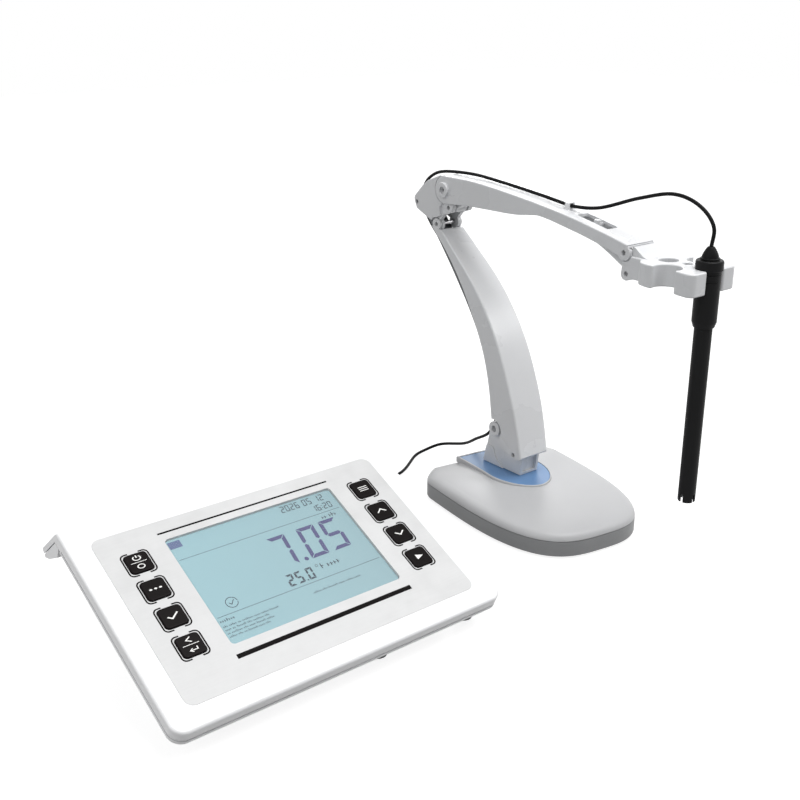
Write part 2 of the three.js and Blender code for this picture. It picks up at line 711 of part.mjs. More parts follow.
function grown(points, by) {
  const centre = points.reduce((sum, p) => sum.add(p), new THREE.Vector2())
    .divideScalar(points.length);
  const size = new THREE.Box2().setFromPoints(points).getSize(new THREE.Vector2());
  return points.map((p) => new THREE.Vector2(
    centre.x + (p.x - centre.x) * (1 + (2 * by) / size.x),
    centre.y + (p.y - centre.y) * (1 + (2 * by) / size.y),
  ));
}
const inlayShape = (grow) => new THREE.Shape(grown(loop(INLAY_PRINT, INLAY_FROM), grow));

const boltHole = (z0, z1) => post(0, 0, BOLT_RADIUS + GAP, z0, z1);

function basePlate() {
  const body = loft([
    baseRing(1, PLATE_BOTTOM),
    baseRing(0, PLATE_BOTTOM + 1),
    baseRing(0, PLATE_TOP),
  ]);
  const counterbore = post(0, 0, BOLT_HEAD_RADIUS + 1, 0, PLATE_BOTTOM + BOLT_HEAD + 1);
  return cut(body, counterbore, boltHole(0, PLATE_TOP + 1));
}

function baseCover() {
  const outer = loft(COVER_SKIN.map(([inset, z]) => baseRing(inset, z)));
  const [shoulder, dome] = [COVER_SKIN[2], COVER_SKIN[COVER_SKIN.length - 2]];
  const inner = loft([
    baseRing(COVER_WALL, PLATE_TOP - 1),
    ...[shoulder, dome].map(([inset, z]) => baseRing(inset + COVER_WALL, z - COVER_WALL)),
  ]);
  const boss = post(0, 0, COVER_BOSS, PLATE_TOP + GAP, INLAY_TOP - 2);
  const pocketFloor = INLAY_TOP - INLAY_THICKNESS - GAP;
  const platform = prism(inlayShape(INLAY_RIM), pocketFloor - 5, INLAY_TOP + 0.2);
  const skin = join(cut(join(outer, platform), inner), boss);
  return cut(skin, prism(inlayShape(GAP), pocketFloor, INLAY_TOP + 5), boltHole(0, 40));
}

const baseInlay = () =>
  cut(prism(inlayShape(0), INLAY_TOP - INLAY_THICKNESS, INLAY_TOP), boltHole(0, 40));

function basePad() {
  const outline = baseRing(PAD_INSET, 0).map((p) => new THREE.Vector2(p.x, p.y));
  return prism(new THREE.Shape(outline), 0, PLATE_BOTTOM - GAP);
}

function swivelBolt() {
  const headBottom = PLATE_BOTTOM + 0.5;
  const nutBottom = BRACKET_BOTTOM + BRACKET_FLOOR + GAP;
  return turned([
    [0, headBottom],
    [BOLT_HEAD_RADIUS, headBottom],
    [BOLT_HEAD_RADIUS, headBottom + BOLT_HEAD],
    [BOLT_RADIUS, headBottom + BOLT_HEAD],
    [BOLT_RADIUS, nutBottom],
    [BOLT_RADIUS + 2.4, nutBottom],
    [BOLT_RADIUS + 2.4, nutBottom + 4],
    [BOLT_RADIUS, nutBottom + 4],
    [BOLT_RADIUS, nutBottom + 6],
    [0, nutBottom + 6],
  ], 12);
}

function basePieces() {
  piece(base, 'base_plate', basePlate(), BASE_GREY);
  piece(base, 'base_cover', baseCover(), BASE_TOP);
  piece(base, 'base_inlay', baseInlay(), BLUE);
  piece(base, 'base_pad', basePad(), RUBBER);
  piece(base, 'swivel_bolt', swivelBolt(), METAL);
}

// ---------------------------------------------------------------- the jointed arm

const pinHole = (at, half = 20) => slab(disc(at, PIN_RADIUS + GAP), half);

const pin = (at, half) => slab(disc(at, PIN_RADIUS), half);

function bracket() {
  const [fy, fz] = ARM_FOOT;
  const [ly, lz] = LINK_FOOT;
  const heel = [8.9, 40.9];
  const body = filleted([
    [BRACKET_FRONT, BRACKET_BOTTOM],
    [12.8, BRACKET_BOTTOM],
    [...heel, 25],
    [ly + 9.2, lz - 1, 8],
    [ly - 4.6, lz + 8.2, 8],
    [fy - 3.4, fz + 5.6, 5],
    [fy - 5.2, fz - 3, 4],
  ]);
  // The cheeks are thicker at their rear foot, behind a curved step.
  const foot = filleted([
    [-11.5, BRACKET_BOTTOM],
    [20, BRACKET_BOTTOM],
    [20, heel[1]],
    [0.6, heel[1], 5],
    [-2.1, 32.6, 12],
  ]);
  const inside = LINK_HALF + CHEEK_GAP;
  const floor = BRACKET_BOTTOM + BRACKET_FLOOR;
  const bosses = [
    bothSides(disc(LINK_FOOT, BOSS_RADIUS), BRACKET_HALF - 1, LINK_BOSS_HALF),
    bothSides(disc(ARM_FOOT, 4.6), BRACKET_HALF - 1, 12.3),
    overlap(slab(body, BRACKET_FOOT_HALF, 2), bothSides(foot, inside + 1, 20)),
  ];
  const well = box(-inside, inside, -28, 30, floor, 90);
  const front = box(-inside, inside, -45, -28, fz - 4, 90);
  const recess = box(-inside, inside, -45, BRACKET_FRONT + BRACKET_FRONT_RECESS, floor - 2, 90);
  return cut(join(slab(body, BRACKET_HALF, 2), ...bosses), well, front, recess,
    pinHole(ARM_FOOT), pinHole(LINK_FOOT), boltHole(0, floor + 1),
    bothSides(disc(LINK_FOOT, BOSS_BORE), LINK_PIN_HALF, 20));
}

// The lower arm swells in the middle: its half width at a height, less a wall.
const lowerHalf = (z, wall = 0) => {
  const k = (z - 130) / 90;
  return LOWER_HALF_MID - 1.7 * k - 2.6 * k * k - wall;
};
function lowerPlan(wall) {
  const heights = [20, 50, 80, 110, 140, 170, 200, 230];
  const right = heights.map((z) => [lowerHalf(z, wall), z]);
  const left = heights.map((z) => [-lowerHalf(z, wall), z]).reverse();
  return new THREE.Shape([...right, ...left].map(([x, z]) => new THREE.Vector2(x, z)));
}
// The front view's outline carried along Y.
const FRONT_VIEW = new THREE.Matrix4().makeBasis(
  new THREE.Vector3(1, 0, 0),
  new THREE.Vector3(0, 0, 1),
  new THREE.Vector3(0, -1, 0),
);
const alongY = (shape) => prism(shape, -140, 60).applyMatrix4(FRONT_VIEW);

const LOWER_FRONT = [
  [-36.4, 43.5],
  [-32.5, 60.9],
  [-25.3, 86.7],
  [-5.8, 132],
  [21, 169.5],
  [53.5, 198.8],
  [68.5, 211.4],
];
const LOWER_REAR = [
  [81.8, 214],
  [62.2, 196.7],
  [41.5, 173.5],
  [21, 142.4],
  [9.1, 117.8],
  [2, 91.7],
  [-1.4, 67.4],
];
const inFrom = (points, by) => points.map(([y, z]) => [y + by * 0.92, z - by * 0.4]);

function lowerArm() {
  const ear = slab(disc(ARM_ELBOW, EAR_RADIUS), 20);
  const skirt = filleted([
    [LOWER_FRONT[0][0], 43.5],
    [-34.8, 41.2, 2],
    [-29, 40.2, 5],
    [-10.5, 47, 6],
    [-1.4, 67.4],
    [-20, 75],
    [-32.5, 60.9],
  ]);
  const side = join(slab(twoEdged(LOWER_FRONT, LOWER_REAR), 20), ear, slab(skirt, 20));
  const outer = overlap(side, alongY(lowerPlan(0)));
  const inner = inFrom(LOWER_FRONT, SHELL_WALL);
  const hollow = twoEdged([[inner[0][0], 20], ...inner, [72, 240]],
    [[140, 240], [120, 170], [80, 100], [60, 20]]);
  const channel = overlap(slab(hollow, 20), alongY(lowerPlan(SHELL_WALL)));
  const notch = slab(disc(LINK_FOOT, NOTCH_RADIUS), 20, 2);
  const doorway = rectangle(40, ARM_ELBOW[0] + 1, LOWER_FRONT[LOWER_FRONT.length - 1][1], 240);
  const lugs = bothSides(disc(ARM_FOOT, 4), 12.6, lowerHalf(ARM_FOOT[1]) - 1);
  const shell = cut(outer, channel, notch, slab(doorway, 9.7));
  return cut(join(shell, lugs), pinHole(ARM_FOOT), pinHole(ARM_ELBOW));
}

// A curved link of even thickness: a bar swept through the points of its middle line.
function bar(points, thickness, half, eye) {
  const curve = new THREE.SplineCurve(points.map(([y, z]) => new THREE.Vector2(y, z)));
  const steps = 10;
  const sides = [[], []];
  for (let i = 0; i <= steps; i++) {
    const at = curve.getPoint(i / steps);
    const ahead = curve.getTangent(i / steps);
    const across = new THREE.Vector2(-ahead.y, ahead.x).multiplyScalar(thickness / 2);
    sides[0].push(at.clone().sub(across));
    sides[1].unshift(at.clone().add(across));
  }
  const strip = slab(new THREE.Shape([...sides[0], ...sides[1]]), half);
  const ends = [points[0], points[points.length - 1]];
  const eyes = ends.map((end) => slab(disc(end, eye), half));
  return cut(join(strip, ...eyes), ...ends.map((end) => pinHole(end)));
}

const LOWER_LINK_LINE = [LINK_FOOT, [6.2, 95], [27.8, 140], [56, 180], LINK_ELBOW];
const LINK_THICKNESS = 7;
const GROOVE_HALF = CORD_RADIUS + 0.5;
const GROOVE_DEPTH = 3.2;

// The lower link carries the electrode's lead in a groove down its rear face.
function lowerLink() {
  const body = bar(LOWER_LINK_LINE, LINK_THICKNESS, LINK_HALF, 5);
  const shift = LINK_THICKNESS / 2 - GROOVE_DEPTH / 2 + 1;
  const line = LOWER_LINK_LINE.slice(1, -1).map(([y, z]) => [y + shift * 0.84, z - shift * 0.54]);
  const ends = [[line[0][0] - 5.5, line[0][1] - 20], [line[2][0] + 30, line[2][1] + 36]];
  const groove = bar([ends[0], ...line, ends[1]], GROOVE_DEPTH + 2, GROOVE_HALF, 0.5);
  return cut(body, groove);
}

function elbowBracket() {
  const [py, pz] = UPPER_HINGE;
  const [ey, ez] = ARM_ELBOW;
  const [ly, lz] = LINK_ELBOW;
  const crown = UPPER_HINGE[1] + 11;
  const broad = filleted([
    [py + 4, crown],
    [70.6, crown, 2],
    [85.8, 250.8, 12],
    [92, 246.2, 12],
    [ly + 4.5, lz + 3.6, 4],
    [ly + 0.6, lz - 5.4, 4],
    [ey + 5.4, ez + 2.6],
    [ey - 6, ez + 8],
    [69.8, 231],
    [py + 4, 240],
  ].reverse());
  const seat = disc(UPPER_HINGE, UPPER_END_RADIUS + 0.6);
  const earSeat = disc(ARM_ELBOW, EAR_RADIUS + 0.9);
  const wide = cut(slab(broad, ELBOW_HALF, 2), slab(seat, 20, 3), slab(earSeat, 20, 2));
  const tongue = filleted([
    [py + 8.2, pz],
    [py + 8.2, 226],
    [ey + 5.5, ez + 6],
    [ey - 4, ez + 4],
    [ey - 8, ez + 8.6, 3],
    [58.5, 227.6, 3],
    [56, 232, 2],
    [py - 7.6, pz - 4],
  ].reverse());
  const neck = join(slab(tongue, ELBOW_TONGUE_HALF), slab(disc(UPPER_HINGE, 8.4), ELBOW_TONGUE_HALF));
  const trimmed = cut(neck, bothSides(earSeat, ELBOW_FOOT_HALF, 20));
  const foot = slab(disc(ARM_ELBOW, 5.6), ELBOW_FOOT_HALF);
  const inside = LINK_HALF + CHEEK_GAP;
  const hollow = filleted([
    [py - 20, 200],
    [110, 200],
    [ly + 10, lz + 1],
    [ly + 1, lz + 6.8, 3],
    [86, 246, 6],
    [78, 250.6],
    [py - 20, 250.6],
  ]);
  const open = filleted([[py - 20, 200], [py - 20, 262], [py + 11, 262], [py + 11, 200]].reverse());
  return cut(join(wide, trimmed, foot), slab(hollow, inside), slab(open, inside),
    pinHole(UPPER_HINGE), pinHole(ARM_ELBOW), pinHole(LINK_ELBOW), pinHole(UPPER_LINK_HINGE));
}

const UPPER_CROWN = [
  [UPPER_HINGE[0], UPPER_HINGE[1] + UPPER_END_RADIUS],
  [32.9, 256.9],
  [9.9, 255.3],
  [-33.8, 250.6],
  [-74.6, 244.7],
  [-112.8, 237.1],
  [-129, 233.3],
];
const UPPER_SOLE = [
  [-124.7, 223.6],
  [-94.8, 231.3],
  [-75.2, 235.3],
  [-42.7, 240.5],
  [-32, 239.6],
  [-17.5, 237.8],
  [32.3, 236.6],
  [UPPER_HINGE[0], UPPER_HINGE[1] - UPPER_END_RADIUS],
];

function upperArm() {
  const [hy, hz] = ARM_HEAD;
  const side = join(
    slab(twoEdged(UPPER_CROWN, UPPER_SOLE), UPPER_HALF),
    slab(disc(UPPER_HINGE, UPPER_END_RADIUS), UPPER_HALF, 3),
    slab(disc(ARM_HEAD, KNUCKLE_RADIUS), UPPER_HALF),
  );
  const ceiling = UPPER_CROWN.map(([y, z]) => [y, z - SHELL_WALL]);
  const hollow = twoEdged([[100, ceiling[0][1]], ...ceiling, [hy - 30, ceiling[6][1] - 7]],
    [[hy - 30, 200], [100, 200]]);
  const channel = slab(hollow, UPPER_HALF - SHELL_WALL);
  const nose = box(-20, 20, hy - 30, hy - 3.4, hz + 3, 300);
  const slot = box(-SLOT_HALF, SLOT_HALF, SLOT_FROM, SLOT_TO, 225, 300);
  const shell = cut(side, channel, slot, post(6, 39, 1.6, 250, 262, 12));
  const bosses = bothSides(disc(UPPER_HINGE, BOSS_RADIUS), UPPER_HALF - 1, UPPER_BOSS_HALF);
  const lip = box(-LINK_HALF, LINK_HALF, hy - 3.4, hy - 2.2, hz + 0.9, ceiling[6][1] + 1);
  return cut(join(cut(shell, nose), bosses, lip, leadClip(), slotPost()),
    pinHole(UPPER_HINGE), pinHole(ARM_HEAD),
    bothSides(disc(UPPER_HINGE, BOSS_BORE), UPPER_PIN_HALF, 20));
}

// A round post that stands in the slot on a crossbar between its sides.
function slotPost() {
  const y = (SLOT_FROM + SLOT_TO) / 2;
  const bridge = box(-SLOT_HALF - 0.5, SLOT_HALF + 0.5, y - 1.6, y + 1.6, 238.9, 240.4);
  return join(bridge, post(0, y, 2.6, 239, 243.2, 16));
}

// The clip that holds the lead on the arm: a low arch with the lead's tunnel under it.
function leadClip() {
  const sole = 245.6;
  const arch = filleted([[-4.6, sole], [4.6, sole], [3.4, sole + 6.4, 1.6], [-3.4, sole + 6.4, 1.6]]);
  const body = prism(arch, -1.8, 1.8).applyMatrix4(FRONT_VIEW).translate(0, CLIP_Y, 0);
  const tunnel = prism(disc([0, CLIP_CORD_Z], CLIP_TUNNEL), -10, 10).applyMatrix4(FRONT_VIEW);
  return cut(body, tunnel.translate(0, CLIP_Y, 0));
}

const UPPER_LINK_LINE = [
  UPPER_LINK_HINGE,
  [44, 240],
  [10, 245.4],
  [-40, 243],
  [-90, 232],
  LINK_HEAD,
];
const upperLink = () => bar(UPPER_LINK_LINE, 5, LINK_HALF - 1, 4.4);

// Half of the head's plan, from its neck to the prong's tip, as [x, y, radius].
const HEAD_TIP = -192;
const HEAD_PLAN = [
  [0, ARM_HEAD[0] - 1],
  [HEAD_NECK_HALF, ARM_HEAD[0] - 1],
  [HEAD_NECK_HALF, -140, 3],
  [20.5, -145.5, 3],
  [22.4, -152],
  [22.4, -175],
  [23.6, -185],
  [23.6, HEAD_TIP, 5],
  [SEAT_MOUTH_HALF, HEAD_TIP, 3],
  [SEAT_MOUTH_HALF, -185],
  [0, -185],
];
const HEAD_NOTCH = { x: 17.8, y: -167, radius: 9.6, step: 1.7 };
const HEAD_BORE = 6.75;
const HEAD_BORE_Y = -153.4;
const SMALL_BORE = 3.4;
const SMALL_BORE_AT = [1.5, -168.4];
const KNUCKLE_RADIUS = 5.7; // the upper arm's round end on the head
const HEAD_EYE = 3;

function electrodeHolder() {
  const [hy, hz] = ARM_HEAD;
  const [ly, lz] = LINK_HEAD;
  const inside = LINK_HALF + CHEEK_GAP;
  const mirrored = HEAD_PLAN.map(([x, y, radius]) => [-x, y, radius]);
  const right = prism(filleted([...HEAD_PLAN].reverse()), HEAD_BOTTOM, HEAD_TOP, 2);
  const left = prism(filleted(mirrored), HEAD_BOTTOM, HEAD_TOP, 2);
  const lug = slab(filleted([
    [ly + 4.5, lz - 4.4, 4],
    [ly, lz - 5, 4],
    [ly - 6, lz - 3, 4],
    [hy - 10, HEAD_BOTTOM],
    [hy - 6, hz - 2],
    [hy + 3.3, hz - 4],
    [ly + 4, lz + 9, 3],
    [ly + 4.7, lz, 4],
  ]), HEAD_NECK_HALF);
  const shoulders = bothSides(disc(ARM_HEAD, KNUCKLE_RADIUS + 0.6), HEAD_TONGUE_HALF, 20);
  const eye = slab(disc(ARM_HEAD, HEAD_EYE), HEAD_TONGUE_HALF);
  const { x, y, radius, step } = HEAD_NOTCH;
  const cuts = [
    shoulders,
    box(-inside, inside, hy - 9, hy, 190, HEAD_TOP - HEAD_ROOF),
    box(-inside, inside, hy - HEAD_EYE - 0.5, hy + 30, 190, 240),
    post(0, ELECTRODE_Y, SEAT_RADIUS, 190, 240, 24),
    post(0, ELECTRODE_Y, COLLAR_RADIUS + GAP, HEAD_TOP - 1, 240, 24),
    post(0, HEAD_BORE_Y, HEAD_BORE, 190, 240),
    post(0, HEAD_BORE_Y, HEAD_BORE + 0.85, HEAD_TOP - 0.8, 240),
    post(...SMALL_BORE_AT, SMALL_BORE, 190, 240, 12),
  ];
  for (const side of [-x, x]) {
    cuts.push(post(side, y, radius, 190, 240, 20));
    cuts.push(post(side, y, radius + step, HEAD_TOP - 1.6, 240, 20));
  }
  return cut(join(right, left, lug, eye), ...cuts, pinHole(ARM_HEAD), pinHole(LINK_HEAD));
}

function armPieces() {
  piece(stand, 'swivel_bracket', bracket(), ARM_GREY);
  piece(stand, 'lower_arm', lowerArm(), ARM_GREY);
  piece(stand, 'lower_link', lowerLink(), LINK_METAL);
  piece(stand, 'elbow_bracket', elbowBracket(), ARM_GREY);
  piece(stand, 'upper_arm', upperArm(), ARM_GREY);
  piece(stand, 'upper_link', upperLink(), LINK_METAL);
  piece(stand, 'electrode_holder', electrodeHolder(), ARM_GREY);
  piece(stand, 'pin_arm_foot', pin(ARM_FOOT, lowerHalf(ARM_FOOT[1]) - PIN_INSET), METAL);
  piece(stand, 'pin_link_foot', pin(LINK_FOOT, LINK_PIN_HALF), METAL);
  piece(stand, 'pin_arm_elbow', pin(ARM_ELBOW, lowerHalf(ARM_ELBOW[1]) - PIN_INSET), METAL);
  piece(stand, 'pin_link_elbow', pin(LINK_ELBOW, ELBOW_HALF - PIN_INSET), METAL);
  piece(stand, 'pin_upper_arm', pin(UPPER_HINGE, UPPER_PIN_HALF), METAL);
  piece(stand, 'pin_upper_link', pin(UPPER_LINK_HINGE, ELBOW_TONGUE_HALF - PIN_INSET), METAL);
  piece(stand, 'pin_head_arm', pin(ARM_HEAD, UPPER_HALF - PIN_INSET), METAL);
  piece(stand, 'pin_head_link', pin(LINK_HEAD, HEAD_NECK_HALF - PIN_INSET), METAL);
}

// ---------------------------------------------------------------- the electrode and its lead

const standing = (profile, segments = 16) => turned(profile, segments).translate(0, ELECTRODE_Y, 0);

function electrodeCap() {
  const groove = (z) => [
    [HANDLE_RADIUS, z + 0.5],
    [HANDLE_RADIUS - 0.4, z + 0.25],
    [HANDLE_RADIUS - 0.4, z - 0.25],
    [HANDLE_RADIUS, z - 0.5],
  ].reverse();
  const seat = HEAD_TOP - 1 + GAP;
  return standing([
    [0, HANDLE_BOTTOM],
    [SHAFT_RADIUS + 0.8, HANDLE_BOTTOM],
    [HANDLE_RADIUS, HANDLE_BOTTOM + 4],
    ...groove(CAP_GROOVES[0]),
    ...groove(CAP_GROOVES[1]),
    [HANDLE_RADIUS, seat],
    [COLLAR_RADIUS, seat],
    [COLLAR_RADIUS, COLLAR_TOP - 0.8],
    [COLLAR_RADIUS - 0.8, COLLAR_TOP],
    [0, COLLAR_TOP],
  ]);
}

function electrodeShaft() {
  const guard = 12; // height of the slotted guard round the glass bulb
  return standing([
    [0, SHAFT_BOTTOM + guard],
    [SHAFT_RADIUS - 1.3, SHAFT_BOTTOM + guard],
    [SHAFT_RADIUS - 1.3, SHAFT_BOTTOM],
    [SHAFT_RADIUS - 0.6, SHAFT_BOTTOM],
    [SHAFT_RADIUS, SHAFT_BOTTOM + 1],
    [SHAFT_RADIUS, HANDLE_BOTTOM - GAP],
    [0, HANDLE_BOTTOM - GAP],
  ]);
}

function glassBulb() {
  const top = SHAFT_BOTTOM + 12 - GAP;
  const centre = SHAFT_BOTTOM + 5;
  const radius = 3.6;
  const profile = [[0, centre - radius]];
  for (let i = 1; i < 5; i++) {
    const angle = (-90 + i * 32) * (Math.PI / 180);
    profile.push([radius * Math.cos(angle), centre + radius * Math.sin(angle)]);
  }
  profile.push([2.4, centre + 3.2], [2.4, top], [0, top]);
  return standing(profile, 12);
}

function cordBoot() {
  return standing([
    [0, COLLAR_TOP + GAP],
    [BOOT_RADIUS + 0.9, COLLAR_TOP + GAP],
    [BOOT_RADIUS + 0.9, COLLAR_TOP + 1.2],
    [BOOT_RADIUS, COLLAR_TOP + 1.6],
    [BOOT_RADIUS - 0.9, COLLAR_TOP + 4.4],
    [3.3, BOOT_END - 1.7],
    [2.2, BOOT_END],
    [0, BOOT_END],
  ], 14);
}

// The lead's plug on the meter's socket: a sleeve over the barrel, a body and a tapered relief.
const plugFrom = PANEL_OUT + GAP;
const plugEnd = plugFrom + BNC_LENGTH + 24;
function bncPlug() {
  const barrelEnd = plugFrom + BNC_LENGTH;
  return outward([
    [0, plugFrom + 1],
    [2.6, plugFrom + 1],
    [2.6, barrelEnd + GAP],
    [BNC_BARREL + GAP, barrelEnd + GAP],
    [BNC_BARREL + GAP, plugFrom + 3],
    [7.2, plugFrom + 3],
    [7.2, barrelEnd + 2],
    [5.4, barrelEnd + 3.5],
    [5.4, barrelEnd + 12],
    [3.6, barrelEnd + 12.6],
    [1.9, plugEnd],
    [0, plugEnd],
  ], BNC_X);
}

// Where the lead's middle passes, from the boot to the plug. Each run ends where a joint bends
// the lead or where it is let go, and has so many steps along it.
const plugPlace = [METER_PLACE[0] + BNC_X, METER_PLACE[1] + plugEnd, CONNECTOR_HEIGHT];
const LEAD = [
  { steps: 8, points: [
    [0, ELECTRODE_Y, BOOT_END],
    [0, -187.4, 252],
    [0, -182.4, 259.8],
    [0, -170, 267.3],
  ] },
  { steps: 10, points: [
    [0, -152.7, 270],
    [0, -125.1, 263.6],
    [0, -87.5, 251.4],
    [0, CLIP_Y, CLIP_CORD_Z],
    [0, CLIP_Y + 10, CLIP_CORD_Z + 1.2],
  ] },
  { steps: 6, points: [
    [0, -30.2, 253.1],
    [0, 25.1, 258.4],
    [0, 47.4, 259.4],
  ] },
  { steps: 5, points: [
    [0, 80.5, 257.4],
  ] },
  { steps: 8, points: [
    [0, 92, 254.2],
    [0, 102.4, 247],
    [0, 107.2, 237],
    [0, 104.6, 224],
    [0, 96.4, 212.4],
  ] },
  { steps: 8, points: [
    [0, 57.8, 178.8],
    [0, 43.3, 159.5],
    [0, 29.5, 138.9],
    [0, 7.8, 94],
    [0, 4.2, 82],
  ] },
  { steps: 5, points: [
    [0, 7.4, 66],
    [0, 12.6, 53],
    [0, 18.6, 44.4],
  ] },
  { steps: 8, points: [
    [2.4, 36, 33.3],
    [10.4, 60, 19.1],
    [10.4, 95, 6.4],
    [-1.4, 100, 2.6],
  ] },
  { steps: 22, points: [
    [-12.7, 98.6, 1.5],
    [-50.8, 75.4, 1.5],
    [-90, 72, 1.5],
    [-210, 117, 1.5],
    [-249, 112, 1.5],
    [-260, 89, 1.5],
    [-239, 69, 2.6],
    [-210, 53, 16],
    [-206.1, 40, 31.4],
    plugPlace,
  ] },
];

function leadRuns() {
  const points = LEAD.flatMap((run) => run.points).map((p) => new THREE.Vector3(...p));
  const route = new THREE.CatmullRomCurve3(points);
  const fine = 20; // divisions between two points, to find how far along each point lies
  const lengths = route.getLengths((points.length - 1) * fine);
  const total = lengths[lengths.length - 1];
  let last = 0;
  LEAD.forEach(({ steps, points: own }, i) => {
    const from = (lengths[last * fine] + GAP / 2 + (i ? 0 : GAP / 2)) / total;
    last += i ? own.length : own.length - 1;
    const end = i === LEAD.length - 1 ? GAP : GAP / 2;
    const to = (lengths[last * fine] - end) / total;
    const stretch = new THREE.Curve();
    stretch.getPoint = (t) => route.getPointAt(from + (to - from) * t);
    const section = new THREE.Shape();
    section.absarc(0, 0, CORD_RADIUS, 0, 2 * Math.PI, false);
    const tube = new THREE.ExtrudeGeometry(section, {
      steps,
      extrudePath: stretch,
      curveSegments: 4,
    });
    piece(object, `cord_${i + 1}`, tube, RUBBER);
  });
}

function electrodePieces() {
  piece(stand, 'electrode_cap', electrodeCap(), ELECTRODE_BLACK);
  piece(stand, 'electrode_shaft', electrodeShaft(), ELECTRODE_BLACK);
  piece(stand, 'glass_bulb', glassBulb(), GLASS);
  piece(stand, 'cord_boot', cordBoot(), ELECTRODE_BLACK);
  piece(meter, 'bnc_plug', bncPlug(), METAL);
  leadRuns();
}

meterPieces();
basePieces();
armPieces();
electrodePieces();

export default object;
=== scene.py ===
import math
import bpy
import bmesh
from mathutils import Matrix, Vector


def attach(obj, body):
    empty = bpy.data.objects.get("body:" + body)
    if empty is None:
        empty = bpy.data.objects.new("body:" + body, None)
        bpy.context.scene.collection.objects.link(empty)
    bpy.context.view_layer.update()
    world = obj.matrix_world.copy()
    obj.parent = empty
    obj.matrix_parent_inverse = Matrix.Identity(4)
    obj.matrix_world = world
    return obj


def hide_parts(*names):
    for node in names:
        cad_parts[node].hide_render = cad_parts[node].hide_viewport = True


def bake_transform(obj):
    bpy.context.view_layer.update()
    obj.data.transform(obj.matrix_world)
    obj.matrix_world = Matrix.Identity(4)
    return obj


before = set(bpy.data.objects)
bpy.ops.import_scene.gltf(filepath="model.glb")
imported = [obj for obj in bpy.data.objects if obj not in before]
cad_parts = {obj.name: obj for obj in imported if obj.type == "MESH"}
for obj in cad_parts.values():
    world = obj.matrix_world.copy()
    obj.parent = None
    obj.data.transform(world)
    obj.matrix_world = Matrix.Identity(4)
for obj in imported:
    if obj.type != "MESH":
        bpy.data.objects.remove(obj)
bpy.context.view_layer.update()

# ---------------------------------------------------------------- camera
# Stands in front of the meter's left corner, a little above the arm, and looks down on both. A
# plain 49 mm lens on a 36 mm sensor, without shift or blur.



def placed(name, data):
    """A new object in the scene with this mesh, curve, lamp or camera."""
    made = bpy.data.objects.new(name, data)
    bpy.context.scene.collection.objects.link(made)
    return made


camera_data = bpy.data.cameras.new("camera")
camera_data.lens = 49.43
camera_data.sensor_width = 36
camera_data.clip_end = 20
camera = placed("camera", camera_data)
camera.location = (-0.5971, -0.6121, 0.3952)
looking = Vector((0.5836, 0.7340, -0.3475))
camera.rotation_mode = "QUATERNION"
camera.rotation_quaternion = looking.to_track_quat("-Z", "Y")
bpy.context.scene.camera = camera

# ---------------------------------------------------------------- the lead
# A limp round cable of 2.6 mm, about 1.05 m long, moulded into the boot on the electrode. It
# arches to the clip on the upper arm, runs over the elbow, lies in the groove down the back of
# the lower link, drops to the bench and goes round behind the meter to its socket.


def set_inputs(node, **values):
    """Gives a node's inputs their values; a low line in a name stands for a space."""
    for name, value in values.items():
        node.inputs[name.replace("_", " ")].default_value = value


def operation(nodes, how, kind="ShaderNodeMath"):
    made = nodes.new(kind)
    made.operation = how
    return made


def grain_group():
    """Fine moulded texture: an even tooth, with slow patches of tone and gloss."""
    group = bpy.data.node_groups.new("surface_grain", "ShaderNodeTree")
    for name, value in (("Scale", 900.0), ("Depth", 1.0), ("Patch", 20.0), ("Along", 1.0)):
        socket = group.interface.new_socket(name, in_out="INPUT", socket_type="NodeSocketFloat")
        socket.default_value = value
    for name in ("Tone", "Gloss", "Height"):
        group.interface.new_socket(name, in_out="OUTPUT", socket_type="NodeSocketFloat")
    nodes = group.nodes
    given, out = nodes.new("NodeGroupInput"), nodes.new("NodeGroupOutput")
    place = nodes.new("ShaderNodeTexCoord")
    tooth, patch = nodes.new("ShaderNodeTexNoise"), nodes.new("ShaderNodeTexNoise")
    set_inputs(tooth, Detail=3)
    set_inputs(patch, Detail=4)
    depth, mix = operation(nodes, "MULTIPLY"), operation(nodes, "MULTIPLY_ADD")
    mix.inputs[1].default_value = 0.35
    along = nodes.new("ShaderNodeCombineXYZ")
    set_inputs(along, Y=1, Z=1)
    drawn_out = operation(nodes, "MULTIPLY", "ShaderNodeVectorMath")
    for start, end in (
        (given.outputs["Along"], along.inputs["X"]),
        (place.outputs["Object"], drawn_out.inputs[0]),
        (along.outputs[0], drawn_out.inputs[1]),
        (drawn_out.outputs[0], tooth.inputs["Vector"]),
        (place.outputs["Object"], patch.inputs["Vector"]),
        (given.outputs["Scale"], tooth.inputs["Scale"]),
        (given.outputs["Patch"], patch.inputs["Scale"]),
        (tooth.outputs["Fac"], depth.inputs[0]),
        (given.outputs["Depth"], depth.inputs[1]),
        (tooth.outputs["Fac"], mix.inputs[0]),
        (patch.outputs["Fac"], mix.inputs[2]),
        (mix.outputs[0], out.inputs["Tone"]),
        (patch.outputs["Fac"], out.inputs["Gloss"]),
        (depth.outputs[0], out.inputs["Height"]),
    ):
        group.links.new(start, end)
    return group


GRAIN = grain_group()


